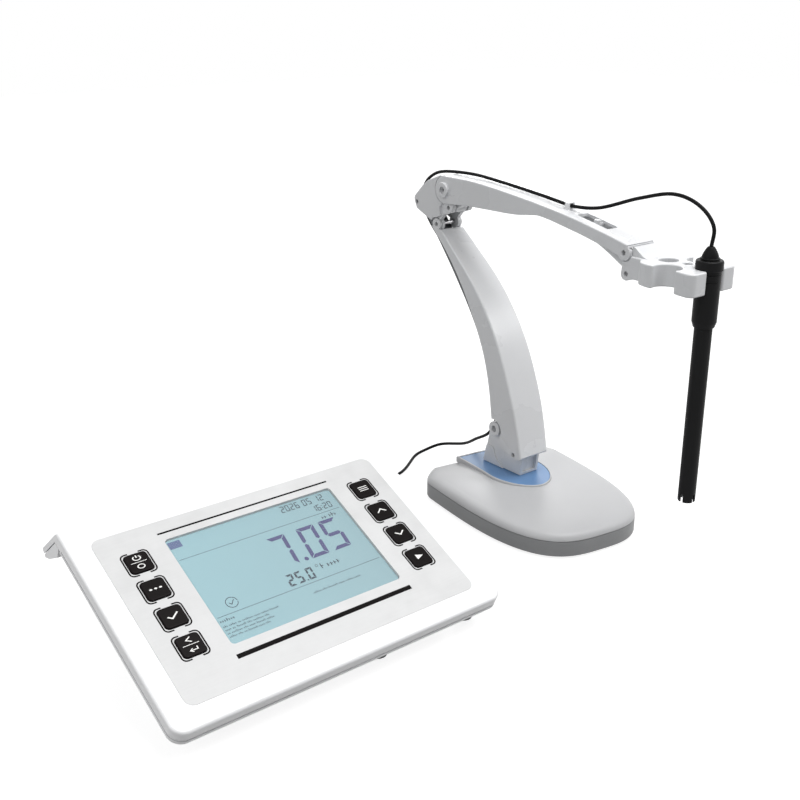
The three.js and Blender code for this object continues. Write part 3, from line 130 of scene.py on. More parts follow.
def finish(name, color, roughness, scale=900, depth=1.0, patch=20, tint=0.06, bump=0.08, along=1.0,
           **fixed):
    """A material with the moulded grain: its colour, gloss and relief vary over the surface."""
    made = bpy.data.materials.new(name)
    made.use_nodes = True
    nodes, links = made.node_tree.nodes, made.node_tree.links
    shader = nodes["Principled BSDF"]
    grain = nodes.new("ShaderNodeGroup")
    grain.node_tree = GRAIN
    set_inputs(grain, Scale=scale, Depth=depth, Patch=patch, Along=along)
    tone = nodes.new("ShaderNodeMapRange")
    set_inputs(tone, From_Min=0.4, From_Max=0.95)
    blend = nodes.new("ShaderNodeMix")
    blend.data_type = "RGBA"
    set_inputs(blend, A=(*[c * (1 - tint) for c in color], 1),
               B=(*[min(c * (1 + tint / 2), 1) for c in color], 1))
    gloss = nodes.new("ShaderNodeMapRange")
    set_inputs(gloss, From_Min=0.3, From_Max=0.7, To_Min=max(roughness - 0.06, 0.02),
               To_Max=roughness + 0.06)
    relief = nodes.new("ShaderNodeBump")
    set_inputs(relief, Strength=bump, Distance=0.0004)
    links.new(grain.outputs["Tone"], tone.inputs["Value"])
    links.new(tone.outputs["Result"], blend.inputs["Factor"])
    links.new(blend.outputs["Result"], shader.inputs["Base Color"])
    links.new(grain.outputs["Gloss"], gloss.inputs["Value"])
    links.new(gloss.outputs["Result"], shader.inputs["Roughness"])
    links.new(grain.outputs["Height"], relief.inputs["Height"])
    links.new(relief.outputs["Normal"], shader.inputs["Normal"])
    set_inputs(shader, **fixed)
    return made


def smooth(mesh, angle=32):
    """Rounds the shading, except over edges sharper than the angle."""
    work = bmesh.new()
    work.from_mesh(mesh)
    for face in work.faces:
        face.smooth = True
    for edge in work.edges:
        edge.smooth = edge.calc_face_angle(0) < math.radians(angle)
    work.to_mesh(mesh)
    work.free()


def ring_mesh(rings, name="work", closed=True):
    """A skin through rings of as many points each, closed at both ends or left open."""
    sides = len(rings[0])
    faces = [(i + k, i + (k + 1) % sides, i + sides + (k + 1) % sides, i + sides + k)
             for i in range(0, sides * (len(rings) - 1), sides) for k in range(sides)]
    if closed:
        faces += [tuple(reversed(range(sides))),
                  tuple(range(sides * (len(rings) - 1), sides * len(rings)))]
    mesh = bpy.data.meshes.new(name)
    mesh.from_pydata([tuple(p) for ring in rings for p in ring], [], faces)
    return mesh


def smooth_route(points, per_span):
    """A centripetal spline through the points, so many steps between two."""
    points = [Vector(p) for p in points]
    padded = [2 * points[0] - points[1], *points, 2 * points[-1] - points[-2]]
    line = [points[0]]
    for p0, p1, p2, p3 in zip(padded, padded[1:], padded[2:], padded[3:]):
        d0, d1, d2 = [max((b - a).length ** 0.5, 1e-6) for a, b in ((p0, p1), (p1, p2), (p2, p3))]
        out_of = ((p1 - p0) / d0 - (p2 - p0) / (d0 + d1) + (p2 - p1) / d1) * d1
        into = ((p2 - p1) / d1 - (p3 - p1) / (d1 + d2) + (p3 - p2) / d2) * d1
        for i in range(1, per_span + 1):
            t = i / per_span
            line.append(
                (2 * t**3 - 3 * t**2 + 1) * p1
                + (t**3 - 2 * t**2 + t) * out_of
                + (-2 * t**3 + 3 * t**2) * p2
                + (t**3 - t**2) * into
            )
    return line


def tube(name, line, radius, material, sides=14):
    """A round tube along a line, turned as little as possible from ring to ring."""
    rings = []
    ahead = (line[1] - line[0]).normalized()
    across = ahead.orthogonal().normalized()
    for i, at in enumerate(line):
        nearby = line[min(i + 1, len(line) - 1)] - line[max(i - 1, 0)]
        across = nearby.normalized().rotation_difference(ahead).inverted() @ across
        ahead = nearby.normalized()
        up = ahead.cross(across)
        turns = [2 * math.pi * k / sides for k in range(sides)]
        rings.append([at + radius * (math.cos(a) * across + math.sin(a) * up) for a in turns])
    mesh = ring_mesh(rings, name)
    mesh.materials.append(material)
    smooth(mesh)
    return placed(name, mesh)


lead_rubber = finish("lead_rubber", (0.006, 0.006, 0.0065), 0.48, scale=1500, depth=0.6, bump=0.05,
                     Specular_IOR_Level=0.08)
lead_radius = 0.0013
lead_route = [
    (0, -0.1866, 0.2406), (0, -0.1874, 0.2520), (0, -0.1824, 0.2598), (0, -0.1700, 0.2673),
    (0, -0.1527, 0.2700), (0, -0.1251, 0.2636), (0, -0.0875, 0.2514), (0, -0.0610, 0.2494),
    (0, -0.0510, 0.2506), (0, -0.0302, 0.2531), (0, 0.0251, 0.2584), (0, 0.0474, 0.2594),
    (0, 0.0805, 0.2574), (0, 0.0920, 0.2542), (0, 0.1024, 0.2470), (0, 0.1072, 0.2370),
    (0, 0.1046, 0.2240), (0, 0.0964, 0.2124), (0, 0.0578, 0.1788), (0, 0.0433, 0.1595),
    (0, 0.0295, 0.1389), (0, 0.0078, 0.0940), (0, 0.0042, 0.0820), (0, 0.0074, 0.0660),
    (0, 0.0126, 0.0530), (0, 0.0186, 0.0444), (0.0024, 0.0360, 0.0333), (0.0104, 0.0600, 0.0191),
    (0.0104, 0.0950, 0.0064), (-0.0014, 0.1000, 0.0026), (-0.0127, 0.0986, 0.0015),
    (-0.0508, 0.0754, 0.0015), (-0.0900, 0.0720, 0.0015), (-0.2100, 0.1170, 0.0015),
    (-0.2490, 0.1120, 0.0015), (-0.2600, 0.0890, 0.0015), (-0.2390, 0.0690, 0.0026),
    (-0.2100, 0.0530, 0.0160), (-0.2061, 0.0400, 0.0314), (-0.2061, 0.02549, 0.0340),
]
# A run between two bodies is left where it lies and follows neither body. For such a run the table
# gives two points; where the electrode lifts and where the bracket turns, these lie across the
# motion.
lift_bend = ((0, -0.1866, 0.25), (0, -0.170, 0.25))
turn_bend = ((-0.0279, 0.0465, 0.0397), (0.0034, 0.0745, -0.0113))
# Each run: the point it ends at, the body or bodies it follows, and where it bends between two.
lead_runs = [
    (3, ("electrode", "head"), lift_bend),
    (8, ("head", "upper_arm_body"), (lead_route[3], lead_route[6])),
    (11, ("upper_arm_body",), None),
    (12, ("upper_arm_body", "elbow"), (lead_route[11], lead_route[12])),
    (17, ("elbow", "lower_link_body"), (lead_route[12], lead_route[17])),
    (22, ("lower_link_body",), None),
    (25, ("lower_link_body", "bracket"), (lead_route[22], lead_route[25])),
    (29, ("bracket", "meter_and_base"), turn_bend),
    (39, ("meter_and_base",), None),
]
per_span = 16
lead_line = smooth_route(lead_route, per_span)
begins = 0
for number, (ends, bodies, bend) in enumerate(lead_runs, 1):
    line = lead_line[begins * per_span : ends * per_span + 1]
    run = tube(f"lead_run_{number}", line, lead_radius, lead_rubber)
    if bend:
        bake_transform(run)
    else:
        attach(run, bodies[0])
    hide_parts(f"cord_{number}")
    begins = ends

# ---------------------------------------------------------------- the meter's case
# Two white mouldings of glossy ABS with fine texture, screwed together from below: a sloping top
# that folds down into a lip at the back, and a bottom with a flange under it and a tub inside.


def rounded(corners, fine=8):
    """An outline through corners (x, y, radius) in millimetres; with no radius one is sharp."""
    outline = []
    for i, corner in enumerate(corners):
        at = Vector(corner[:2])
        radius = corner[2] if len(corner) > 2 else 0
        if not radius:
            outline.append(at)
            continue
        before = (Vector(corners[i - 1][:2]) - at).normalized()
        after = (Vector(corners[(i + 1) % len(corners)][:2]) - at).normalized()
        half = before.angle(after) / 2
        centre = at + (before + after).normalized() * radius / math.sin(half)
        start = at + before * radius / math.tan(half) - centre
        end = at + after * radius / math.tan(half) - centre
        turn = start.angle_signed(end)
        for k in range(fine + 1):
            outline.append(centre + Matrix.Rotation(-turn * k / fine, 2) @ start)
    return outline


def rectangle(x0, x1, y0, y1, radius=0, fine=8):
    corners = [(x0, y0, radius), (x1, y0, radius), (x1, y1, radius), (x0, y1, radius)]
    return rounded(corners, fine)


def disc(x, y, radius, fine=48):
    turns = [2 * math.pi * k / fine for k in range(fine)]
    return [Vector((x + radius * math.cos(a), y + radius * math.sin(a))) for a in turns]


def cleaned(mesh):
    """Joins points that coincide and turns every face outwards."""
    work = bmesh.new()
    work.from_mesh(mesh)
    bmesh.ops.remove_doubles(work, verts=work.verts, dist=0.002)
    bmesh.ops.recalc_face_normals(work, faces=work.faces)
    work.to_mesh(mesh)
    work.free()
    return mesh


def solid(outlines, low, high, edge=0.0, steps=3):
    """A plate of the first outline with the others as holes and rounded edges, in millimetres."""
    curve = bpy.data.curves.new("work", "CURVE")
    curve.dimensions = "2D"
    curve.fill_mode = "BOTH"
    curve.extrude = (high - low) / 2 - edge
    curve.bevel_depth = edge
    curve.offset = -edge
    curve.bevel_resolution = steps
    for outline in outlines:
        spline = curve.splines.new("POLY")
        spline.points.add(len(outline) - 1)
        for point, at in zip(spline.points, outline):
            point.co = (at[0], at[1], 0, 1)
        spline.use_cyclic_u = True
    made = placed("work", curve)
    mesh = bpy.data.meshes.new_from_object(made)
    bpy.data.objects.remove(made)
    mesh.transform(Matrix.Translation((0, 0, (low + high) / 2)))
    return cleaned(mesh)


def turned(profile, sides=48, axis="Z"):
    """A body turned round Z or Y, from its profile of (radius, height), in millimetres."""
    turns = [2 * math.pi * k / sides for k in range(sides)]
    mesh = ring_mesh([[(radius * math.cos(a), radius * math.sin(a), height) for a in turns]
                      for radius, height in profile], closed=False)
    if axis == "Y":
        mesh.transform(Matrix.Rotation(math.radians(-90), 4, "X"))
    return cleaned(mesh)


def moved(mesh, x=0, y=0, z=0):
    mesh.transform(Matrix.Translation((x, y, z)))
    return mesh


def combined(mesh, others, how):
    """The mesh with the others added, taken away or kept to: UNION, DIFFERENCE or INTERSECT."""
    base = placed("work", mesh)
    tools = []
    for other in others:
        tool = placed("tool", other)
        tools.append(tool)
        step = base.modifiers.new("step", "BOOLEAN")
        step.operation = how
        step.solver = "EXACT"
        step.object = tool
    seen = base.evaluated_get(bpy.context.evaluated_depsgraph_get())
    made = bpy.data.meshes.new_from_object(seen)
    for tool in [base, *tools]:
        bpy.data.objects.remove(tool)
    return made


def cut(mesh, *others):
    return combined(mesh, others, "DIFFERENCE")


def joined(mesh, *others):
    return combined(mesh, others, "UNION")


def gathered(*meshes):
    """Several meshes as one, laid together without cutting."""
    work = bmesh.new()
    for mesh in meshes:
        work.from_mesh(mesh)
    made = bpy.data.meshes.new("work")
    work.to_mesh(made)
    work.free()
    return made


def piece(name, mesh, material, body, place=Matrix(), angle=32, replaces=True):
    """Takes a mesh in millimetres to its place in metres on a body, for the CAD node of its name."""
    mesh.transform(Matrix.Scale(0.001, 4) @ place)
    mesh.materials.append(material)
    smooth(mesh, angle)
    mesh.name = name
    made = placed(name, mesh)
    flats = made.modifiers.new("even_flats", "WEIGHTED_NORMAL")
    flats.keep_sharp = True
    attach(made, body)
    if replaces:
        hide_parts(name)
    return made


ROOT = "meter_and_base"
case_white = finish("case_white", (0.86, 0.865, 0.875), 0.34, scale=1400, depth=0.7, tint=0.02,
                    bump=0.04)
meter_x, meter_y, face_rise = -266.1, -154.8, 20.5
tilt = math.radians(23.59)
upright = Matrix.Translation((meter_x, meter_y, 0))
face = Matrix.Translation((meter_x, meter_y, face_rise)) @ Matrix.Rotation(tilt, 4, "X")
side_view = Matrix(((0, 0, 1, 0), (1, 0, 0, 0), (0, 1, 0, 0), (0, 0, 0, 1)))

case_half = 121
ridge = 159.3
rim = 8.2
lip_turn = math.radians(61.6)


def on_lip(along, depth):
    x = ridge + math.cos(lip_turn) * along - math.sin(lip_turn) * depth
    return x, -math.sin(lip_turn) * along - math.cos(lip_turn) * depth


def lip_meets(depth, level):
    return on_lip((level + math.cos(lip_turn) * depth) / -math.sin(lip_turn), depth)


key_places = [(side * 85.4, 118.4 - row * 22.6) for side in (-1, 1) for row in range(4)]


def around(u, v, half, radius):
    return rectangle(u - half, u + half, v - half, v + half, radius, 6)


def front_rounded(half, start, stop, radius):
    return rounded([(-half, start, radius), (half, start, radius), (half, stop), (-half, stop)], 10)


slab = solid([front_rounded(case_half, 0, 210, 9)], -120, 0, edge=2.2, steps=5)
fold = solid([rounded([
    (-3, -rim), lip_meets(3.3, -rim), (*on_lip(35, 3.3), 0.8), (*on_lip(35, 0), 1.6),
    (ridge, 0, 3), (-3, 0)], 10)], -130, 130)
fold.transform(side_view)
slab = combined(slab, [fold], "INTERSECT")
recess = solid([rectangle(-106.3, 106.3, 13.7, 145.3, 6.3)], -0.8, 3)
display_hole = solid([rectangle(-63.3, 63.3, 40.7, 129.3, 2.8)], -20, 3)
shadow_gap = solid([rectangle(-125, 125, -4, 150), rounded([
    (-118.8, 2.2, 6.8), (118.8, 2.2, 6.8), (118.8, 149.9), (-118.8, 149.9)], 10)], -8.4, -6.9)
key_outlines = [around(u, v, 7.95, 2.95) for u, v in key_places]
key_holes = [solid([outline], -20, 3) for outline in key_outlines]
piece("top_case", cut(slab, recess, display_hole, shadow_gap, *key_holes), case_white, ROOT,
      face)

flange = solid([front_rounded(case_half, 0, 152, 9)], -10.5, -8.5, edge=0.3)
lip_from, lip_to = lip_meets(4.1, -8.5), on_lip(35, 4.1)
inner_lip = solid([rounded([
    (lip_from[0] - 5, -8.5), (lip_from[0] - 5, -10.5), (lip_from[0] - 4.8, -17.1, 2),
    (lip_from[0] + 5.7, -29.4, 3), (lip_to[0] - 1.4, lip_to[1] - 1.3, 1.2), (*lip_to, 0.5),
    lip_from])], -case_half, case_half)
inner_lip.transform(side_view)


def up_slope(y, level):
    return (y + level * math.sin(tilt)) / math.cos(tilt)


tub_front, tub_rear, tub_top = 17, 146.188, -8.6
to_slope = upright.inverted() @ face
to_upright = face.inverted() @ upright
back_view = Matrix.Translation((0, tub_rear, 0)) @ Matrix.Rotation(math.radians(90), 4, "X")
tub_low = [Vector((*p, 5)) for p in rectangle(-88, 88, tub_front, tub_rear, 8, 6)]
tub_high = [to_slope @ Vector((*p, tub_top)) for p in rectangle(
    -100, 100, up_slope(tub_front, tub_top), up_slope(tub_rear, tub_top), 8, 6)]
panel_window = solid([rectangle(-76, 76, 12, 50, 2)], -8, 8)
panel_window.transform(back_view)
tub = cut(ring_mesh([tub_low, tub_high]), panel_window)
feet = {
    "front_foot_left": (-84, 34), "front_foot_middle": (31.5, 21.9), "front_foot_right": (104, 21.9),
    "rear_foot_left": (-76, tub_rear - 14.5), "rear_foot_right": (76, tub_rear - 14.5),
}
bosses = []
for x, y in feet.values():
    top = 12.3 + y * math.tan(tilt) if abs(x) > 88 else 6
    bosses.append(solid([disc(x, y, 7)], 2.7, top, edge=0.3))
below = gathered(tub, *bosses)
below.transform(to_upright)
piece("bottom_case", gathered(flange, inner_lip, below), case_white, ROOT, face)

# ---------------------------------------------------------------- the meter's feet
# Five moulded discs of black rubber with a soft lower edge. Each is glued under a boss of the
# bottom case, and the meter stands on them.

foot_rubber = finish("foot_rubber", (0.035, 0.035, 0.036), 0.7, scale=1100, bump=0.25)
for name, (x, y) in feet.items():
    disc_foot = turned([(0, 0), (5.7, 0), (6.3, 0.25), (6.5, 0.9), (6.5, 2.4), (0, 2.4)])
    piece(name, moved(disc_foot, x, y), foot_rubber, ROOT, upright)

# ---------------------------------------------------------------- the overlay
# A grey printed polyester sheet let into the top, cut out for the keys and the display, with two
# black bars and a broken black line round each key printed on it.

overlay_grey = finish("overlay_grey", (0.610, 0.613, 0.615), 0.42, scale=900, depth=0.8,
                      patch=60, tint=0.07, bump=0.08, along=0.05)
print_black = finish("print_black", (0.0040, 0.0030, 0.0030), 0.5, scale=2000, depth=0.5, bump=0.03,
                     Specular_IOR_Level=0.04)
sheet_outline = rectangle(-106.2, 106.2, 13.8, 145.2, 6.2, 10)
display_outline = rectangle(-63.25, 63.25, 40.75, 129.25, 2.7)
sheet = solid([sheet_outline, display_outline, *key_outlines], -0.5, 0.1)
piece("overlay_panel", sheet, overlay_grey, ROOT, face)

ink = (0.1, 0.16)
bars = [solid([rectangle(-64.8, 64.8, 134.35, 135.65)], *ink),
        solid([rectangle(-64.8, 64.8, 30.5, 33.7)], *ink)]


def bracket_line(u, v, side):
    """Half of the broken line round a key: from the gap above, round one side, to the gap below."""
    outer, inner, gap = 9.4, 8.45, 3.5
    path = [(gap * side, outer), (outer * side, outer, 3.4), (outer * side, -outer, 3.4),
            (gap * side, -outer), (gap * side, -inner), (inner * side, -inner, 2.5),
            (inner * side, inner, 2.5), (gap * side, inner)]
    return [Vector((u + p[0], v + p[1])) for p in rounded(path, 6)]


for u, v in key_places:
    bars += [solid([bracket_line(u, v, side)], *ink) for side in (-1, 1)]
piece("overlay_print", gathered(*bars), print_black, ROOT, face, replaces=False)

# ---------------------------------------------------------------- the keys
# Eight black keys of gloss ABS with soft corners, each through its hole on a spring dome, with a
# plain white sign printed on it. Two of them carry two signs, above and below a thin line.

key_black = finish("key_black", (0.0045, 0.0030, 0.0030), 0.36, scale=1200, depth=0.8, bump=0.05,
                   Specular_IOR_Level=0.06)
print_white = finish("print_white", (0.82, 0.82, 0.80), 0.45, scale=2200, bump=0.03)


def stroke(points, width):
    """A line of even width through the points, as an outline."""
    left, right = [], []
    points = [Vector(p) for p in points]
    for i, at in enumerate(points):
        into = (at - points[i - 1]).normalized() if i else None
        more = i + 1 < len(points)
        out_of = (points[i + 1] - at).normalized() if more else None
        ahead = ((into or out_of) + (out_of or into)).normalized()
        side = Vector((-ahead.y, ahead.x)) * width / 2
        if into is not None and out_of is not None:
            side /= max((1 + into.dot(out_of)) / 2, 0.3) ** 0.5
        left.append(at + side)
        right.append(at - side)
    return left + right[::-1]


def arc(x, y, radius, start, stop, fine=16):
    return [(x + radius * math.cos(math.radians(start + (stop - start) * k / fine)),
             y + radius * math.sin(math.radians(start + (stop - start) * k / fine)))
            for k in range(fine + 1)]


# The signs, drawn about 3 mm high round their middle; a key stretches its own to suit.
signs = {
    "up": [stroke([(-1.5, -0.9), (0, 0.9), (1.5, -0.9)], 0.5)],
    "down": [stroke([(-1.5, 0.9), (0, -0.9), (1.5, 0.9)], 0.5)],
    "left": [stroke([(0.9, 1.5), (-0.9, 0), (0.9, -1.5)], 0.5)],
    "power": [stroke(arc(0, -0.1, 1.45, 125, 415), 0.45), stroke([(0, 0.1), (0, 1.7)], 0.45)],
    "play": [[(-1, -1.4), (1.4, 0), (-1, 1.4)]],
    "lines": [stroke([(-1.6, y), (1.6, y)], 0.4) for y in (-1.1, 0, 1.1)],
    "ring": [stroke(arc(0, 0, 1.3, 0, 350, 28), 0.45)],
    "tick": [stroke([(-1.5, 0.1), (-0.4, -1.1), (1.6, 1.3)], 0.5)],
    "drop": [stroke([(1.5, 1.1), (1.5, -0.5), (-1.2, -0.5)], 0.45),
             stroke([(-0.3, -1.5), (-1.4, -0.5), (-0.3, 0.5)], 0.45)],
    "dots": [disc(x, 0, 0.42, 20) for x in (-1.4, 0, 1.4)],
}
key_signs = [("power", "ring"), ("dots",), ("tick",), ("left", "drop"), ("lines",), ("up",),
             ("down",), ("play",)]
for number, ((u, v), rows) in enumerate(zip(key_places, key_signs)):
    side = "left" if u < 0 else "right"
    name = f"key_{side}_{number % 4 + 1}"
    cap = solid([around(u, v, 7.6, 2.6)], -4, 1.2, edge=0.7, steps=5)
    piece(name, cap, key_black, f"{name}_body", face)
    shapes, lifts, wide, tall = [], (0,), 2.3, 1.5
    if len(rows) == 2:
        shapes = [stroke([(u - 5.2, v), (u + 5.2, v)], 0.4)]
        lifts, wide, tall = (3.5, -3.5), 1.7, 1.2
    for sign, lift in zip(rows, lifts):
        shapes += [[Vector((u + p[0] * wide, v + lift + p[1] * tall)) for p in outline]
                   for outline in signs[sign]]
    marks = gathered(*[solid([shape], 1.19, 1.24) for shape in shapes])
    piece(f"{name}_sign", marks, print_white, f"{name}_body", face, replaces=False)

# ---------------------------------------------------------------- the display
# A pale blue liquid crystal panel behind a clear window flush with the overlay. Its figures,
# rules and rows of small type are dark segments that float just over the panel.


def display_finish():
    """Pale blue, a little deeper towards the right."""
    made = finish("display", (0.40, 0.60, 0.66), 0.55, scale=300, patch=6, tint=0.05, bump=0.0)
    nodes, links = made.node_tree.nodes, made.node_tree.links
    shader = nodes["Principled BSDF"]
    place = nodes.new("ShaderNodeTexCoord")
    axis = nodes.new("ShaderNodeSeparateXYZ")
    fade = nodes.new("ShaderNodeMapRange")
    set_inputs(fade, From_Min=-0.33, From_Max=-0.20)
    ramp = nodes.new("ShaderNodeValToRGB")
    ramp.color_ramp.elements[0].color = (0.235, 0.420, 0.470, 1)
    ramp.color_ramp.elements[1].color = (0.200, 0.340, 0.380, 1)
    links.new(place.outputs["Object"], axis.inputs[0])
    links.new(axis.outputs["X"], fade.inputs["Value"])
    links.new(fade.outputs["Result"], ramp.inputs["Fac"])
    links.new(ramp.outputs["Color"], shader.inputs["Base Color"])
    return made


display_blue = display_finish()
piece("lcd_module", gathered(
    solid([rectangle(-62.9, 62.9, 41.1, 128.9, 2.4)], -5, -1.5),
    solid([rectangle(-68, 68, 36, 134, 2)], -9, -2.8)),
    display_blue, ROOT, face)

segment_dark = finish("segment_dark", (0.020, 0.038, 0.060), 0.5, bump=0.0, Specular_IOR_Level=0.1)
segment_violet = finish("segment_violet", (0.045, 0.042, 0.160), 0.5, bump=0.0,
                        Specular_IOR_Level=0.1)
segment_inverse = finish("segment_inverse", (0.030, 0.065, 0.200), 0.5, bump=0.0)
glow = (-1.48, -1.44)


def figure(digit, u, v, height, slant, weight):
    """The lit bars of a seven-segment figure, as outlines, its lower left corner at (u, v)."""
    width, w = height * 0.52, height * weight
    lit = {"0": "abcdef", "1": "bc", "2": "abdeg", "5": "acdfg", "6": "acdefg", "7": "abc"}[digit]
    middle, gap = height / 2, w * 0.12
    bars = {
        "a": [(gap, height), (width - gap, height), (width - w - gap, height - w),
              (w + gap, height - w)],
        "d": [(w + gap, w), (width - w - gap, w), (width - gap, 0), (gap, 0)],
        "g": [(w * 0.6, middle), (w, middle + w / 2), (width - w, middle + w / 2),
              (width - w * 0.6, middle), (width - w, middle - w / 2), (w, middle - w / 2)],
        "f": [(0, height - gap), (w, height - w - gap), (w, middle + w * 0.62),
              (w * 0.4, middle + gap), (0, middle + w * 0.5)],
        "e": [(0, gap), (w, w + gap), (w, middle - w * 0.62), (w * 0.4, middle - gap),
              (0, middle - w * 0.5)],
    }
    bars["b"] = [(width - x, y) for x, y in bars["f"]]
    bars["c"] = [(width - x, y) for x, y in bars["e"]]
    return [[Vector((u + x + y * slant, v + y)) for x, y in bars[name]] for name in lit]


def lit_up(outlines):
    return [solid([outline], *glow) for outline in outlines]


def number_on_display(text, u, v, height, slant, weight):
    outlines = []
    for sign in text:
        if sign == ".":
            dot = height * 0.06
            outlines.append(disc(u + dot, v + dot, dot, 16))
            u += height * 0.2
        elif sign == ":":
            outlines += [disc(u + height * 0.1, v + height * k, height * 0.07, 12)
                         for k in (0.3, 0.7)]
            u += height * 0.28
        elif sign == " ":
            u += height * 0.4
        else:
            outlines += figure(sign, u, v, height, slant, weight)
            u += height * 0.68
    return lit_up(outlines)


def small_type(u, stop, v, height, words):
    """A row of small type too fine to read: word after word of short upright marks."""
    outlines = []
    for word in words:
        for k in range(word):
            if u + height * 0.6 > stop:
                return lit_up(outlines)
            tall = height * (0.62, 1.0, 0.62, 0.7, 0.62)[(k * 3 + word) % 5]
            outlines.append(rectangle(u, u + height * 0.18, v, v + tall))
            outlines.append(rectangle(u, u + height * 0.45, v + tall * 0.42, v + tall * 0.58))
            u += height * 0.62
        u += height * 0.5
    return lit_up(outlines)


dark = lit_up(rectangle(-61, 61, v - 0.14, v + 0.14) for v in (111.6, 62.4))
dark += number_on_display("2026 05 12", 21, 121.6, 5.6, 0.04, 0.12)
dark += number_on_display("16:20", 42, 114.0, 5.4, 0.04, 0.12)
dark += small_type(44, 60, 106.6, 3.4, (2, 3))
dark += number_on_display("25.0", -7, 64.8, 9.4, 0.08, 0.15)
dark += lit_up([stroke(arc(17.6, 73.4, 0.9, 0, 350, 14), 0.3)])
dark += small_type(20, 36, 69.8, 4.2, (1, 4))
dark += lit_up([stroke(arc(-47.2, 69.6, 3.9, 0, 352, 40), 0.45),
                stroke([(-49.1, 69.8), (-47.8, 68.2), (-45.2, 71.3)], 0.5)])
for stop, v, tall, words in (
    (-40, 58.3, 2.4, (7,)), (0, 54.3, 1.7, (3, 5, 2, 7, 4, 5, 6)),
    (0, 51.7, 1.7, (4, 2, 6, 3, 7, 3)), (0, 49.1, 1.7, (2, 7, 3, 4, 6, 5)),
    (0, 46.5, 1.7, (5, 3, 2, 6, 4, 3)),
):
    dark += small_type(-61, stop, v, tall, words)
dark += small_type(4, 58, 54.2, 1.9, (5, 3, 6, 4, 5, 4))
piece("display_figures", gathered(*dark), segment_dark, ROOT, face, replaces=False)
piece("display_reading", gathered(*number_on_display("7.05", -4.4, 79.4, 26, 0.10, 0.11)),
      segment_violet, ROOT, face, replaces=False)
piece("display_tag", solid([rectangle(-62, -53.4, 121.4, 127.2, 0.4)], *glow), segment_inverse, ROOT,
      face, replaces=False)

window_clear = finish("window_clear", (0.93, 0.97, 0.98), 0.12, scale=400, depth=0.3, tint=0.0,
                      bump=0.0, Alpha=0.05, Specular_IOR_Level=0.5)
piece("lcd_window", solid([rectangle(-63, 63, 41, 129, 2.5)], -1.2, 0.1, edge=0.12), window_clear,
      ROOT, face)
board_green = finish("board_green", (0.02, 0.16, 0.06), 0.4, scale=500, tint=0.2)
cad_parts["main_board"].data.materials.clear()
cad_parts["main_board"].data.materials.append(board_green)

# ---------------------------------------------------------------- the meter's rear panel
# A grey plate in the back of the tub with the sockets: a bayonet socket for the electrode, a small
# reference jack, a round socket for a temperature probe, a square data port and a power jack.

panel_grey = finish("panel_grey", (0.60, 0.61, 0.63), 0.5, scale=1600, depth=0.8, bump=0.10)
socket_rise, bnc_x, jack_x = 34, 60, -55
panel_holes = [disc(x, socket_rise, radius + 0.3)
               for x, radius in ((bnc_x, 4.85), (34, 3), (10, 4.6), (jack_x, 4))]
panel_holes.append(rectangle(-26.5, -13.5, 28.1, 39.9, 0.6))
panel = gathered(
    solid([rectangle(-75.7, 75.7, 12.3, 49.7, 1.7), *panel_holes], 0.2, 3.2, edge=0.25),
    solid([rectangle(-78.4, 78.4, 9.6, 52.4, 2), *panel_holes], 2.8, 4.8, edge=0.2))
piece("rear_panel", panel, panel_grey, ROOT, upright @ back_view)

nickel = finish("nickel", (0.62, 0.61, 0.58), 0.24, scale=1800, depth=0.4, tint=0.10, bump=0.03,
                Metallic=1.0)
socket_black = finish("socket_black", (0.025, 0.025, 0.026), 0.5, scale=1200, bump=0.12)
outside = tub_rear + 0.1


def at_socket(mesh, x):
    return moved(mesh, x, 0, socket_rise)


def socket(x, neck, collar, length, bore):
    """A round panel socket with a nut under its collar, open towards the back."""
    return at_socket(turned([
        (0, 133.4), (neck + 1.5, 133.4), (neck + 1.5, 141.1), (neck, 141.1), (neck, outside),
        (collar - 0.3, outside), (collar, outside + 0.3), (collar, outside + 1.3),
        (collar - 0.3, outside + 1.6), (neck, outside + 1.6), (neck, outside + length - 0.25),
        (neck - 0.25, outside + length), (bore + 0.25, outside + length),
        (bore, outside + length - 0.25), (bore, outside - 6), (0, outside - 6)], 40, "Y"), x)


pin_of_socket = turned([(0, 139), (0.65, 139), (0.65, 150), (0.4, 151), (0, 151)], 16, "Y")
threads = [turned([(4.55, y), (4.84, y + 0.25), (4.55, y + 0.5)], 40, "Y")
           for y in (148.6, 149.4, 150.2)]
pin_and_threads = at_socket(gathered(pin_of_socket, *threads), bnc_x)
piece("bnc_socket", gathered(socket(bnc_x, 4.85, 7, 10, 3.6), pin_and_threads), nickel, ROOT,
      upright)
piece("reference_socket", socket(34, 3, 5, 1.6, 2.1), nickel, ROOT, upright)
piece("probe_socket", socket(10, 4.6, 6.4, 2, 3.6), socket_black, ROOT, upright)
piece("power_jack", socket(jack_x, 4, 5.4, 1.6, 2.8), socket_black, ROOT, upright)
jack_pin = turned([(0, 140.6), (0.9, 140.6), (0.9, 145.6), (0.6, 146.1), (0, 146.1)], 20, "Y")
piece("power_jack_pin", at_socket(jack_pin, jack_x), nickel, ROOT, upright,
      replaces=False)
port = cut(solid([rectangle(-26.2, -13.8, 28.4, 39.6, 0.5)], -1, 16.4, edge=0.15),
           solid([rectangle(-24.8, -15.2, 29.8, 38.2)], -3, 7))
ears = solid([rectangle(-28.2, -11.8, 27.4, 39.6, 0.5)], 5.2, 16.4, edge=0.1)
tongue = solid([rectangle(-23, -17, 32.5, 35.5, 0.2)], 1, 8)
piece("data_port", gathered(port, ears, tongue), nickel, ROOT,
      upright @ back_view)

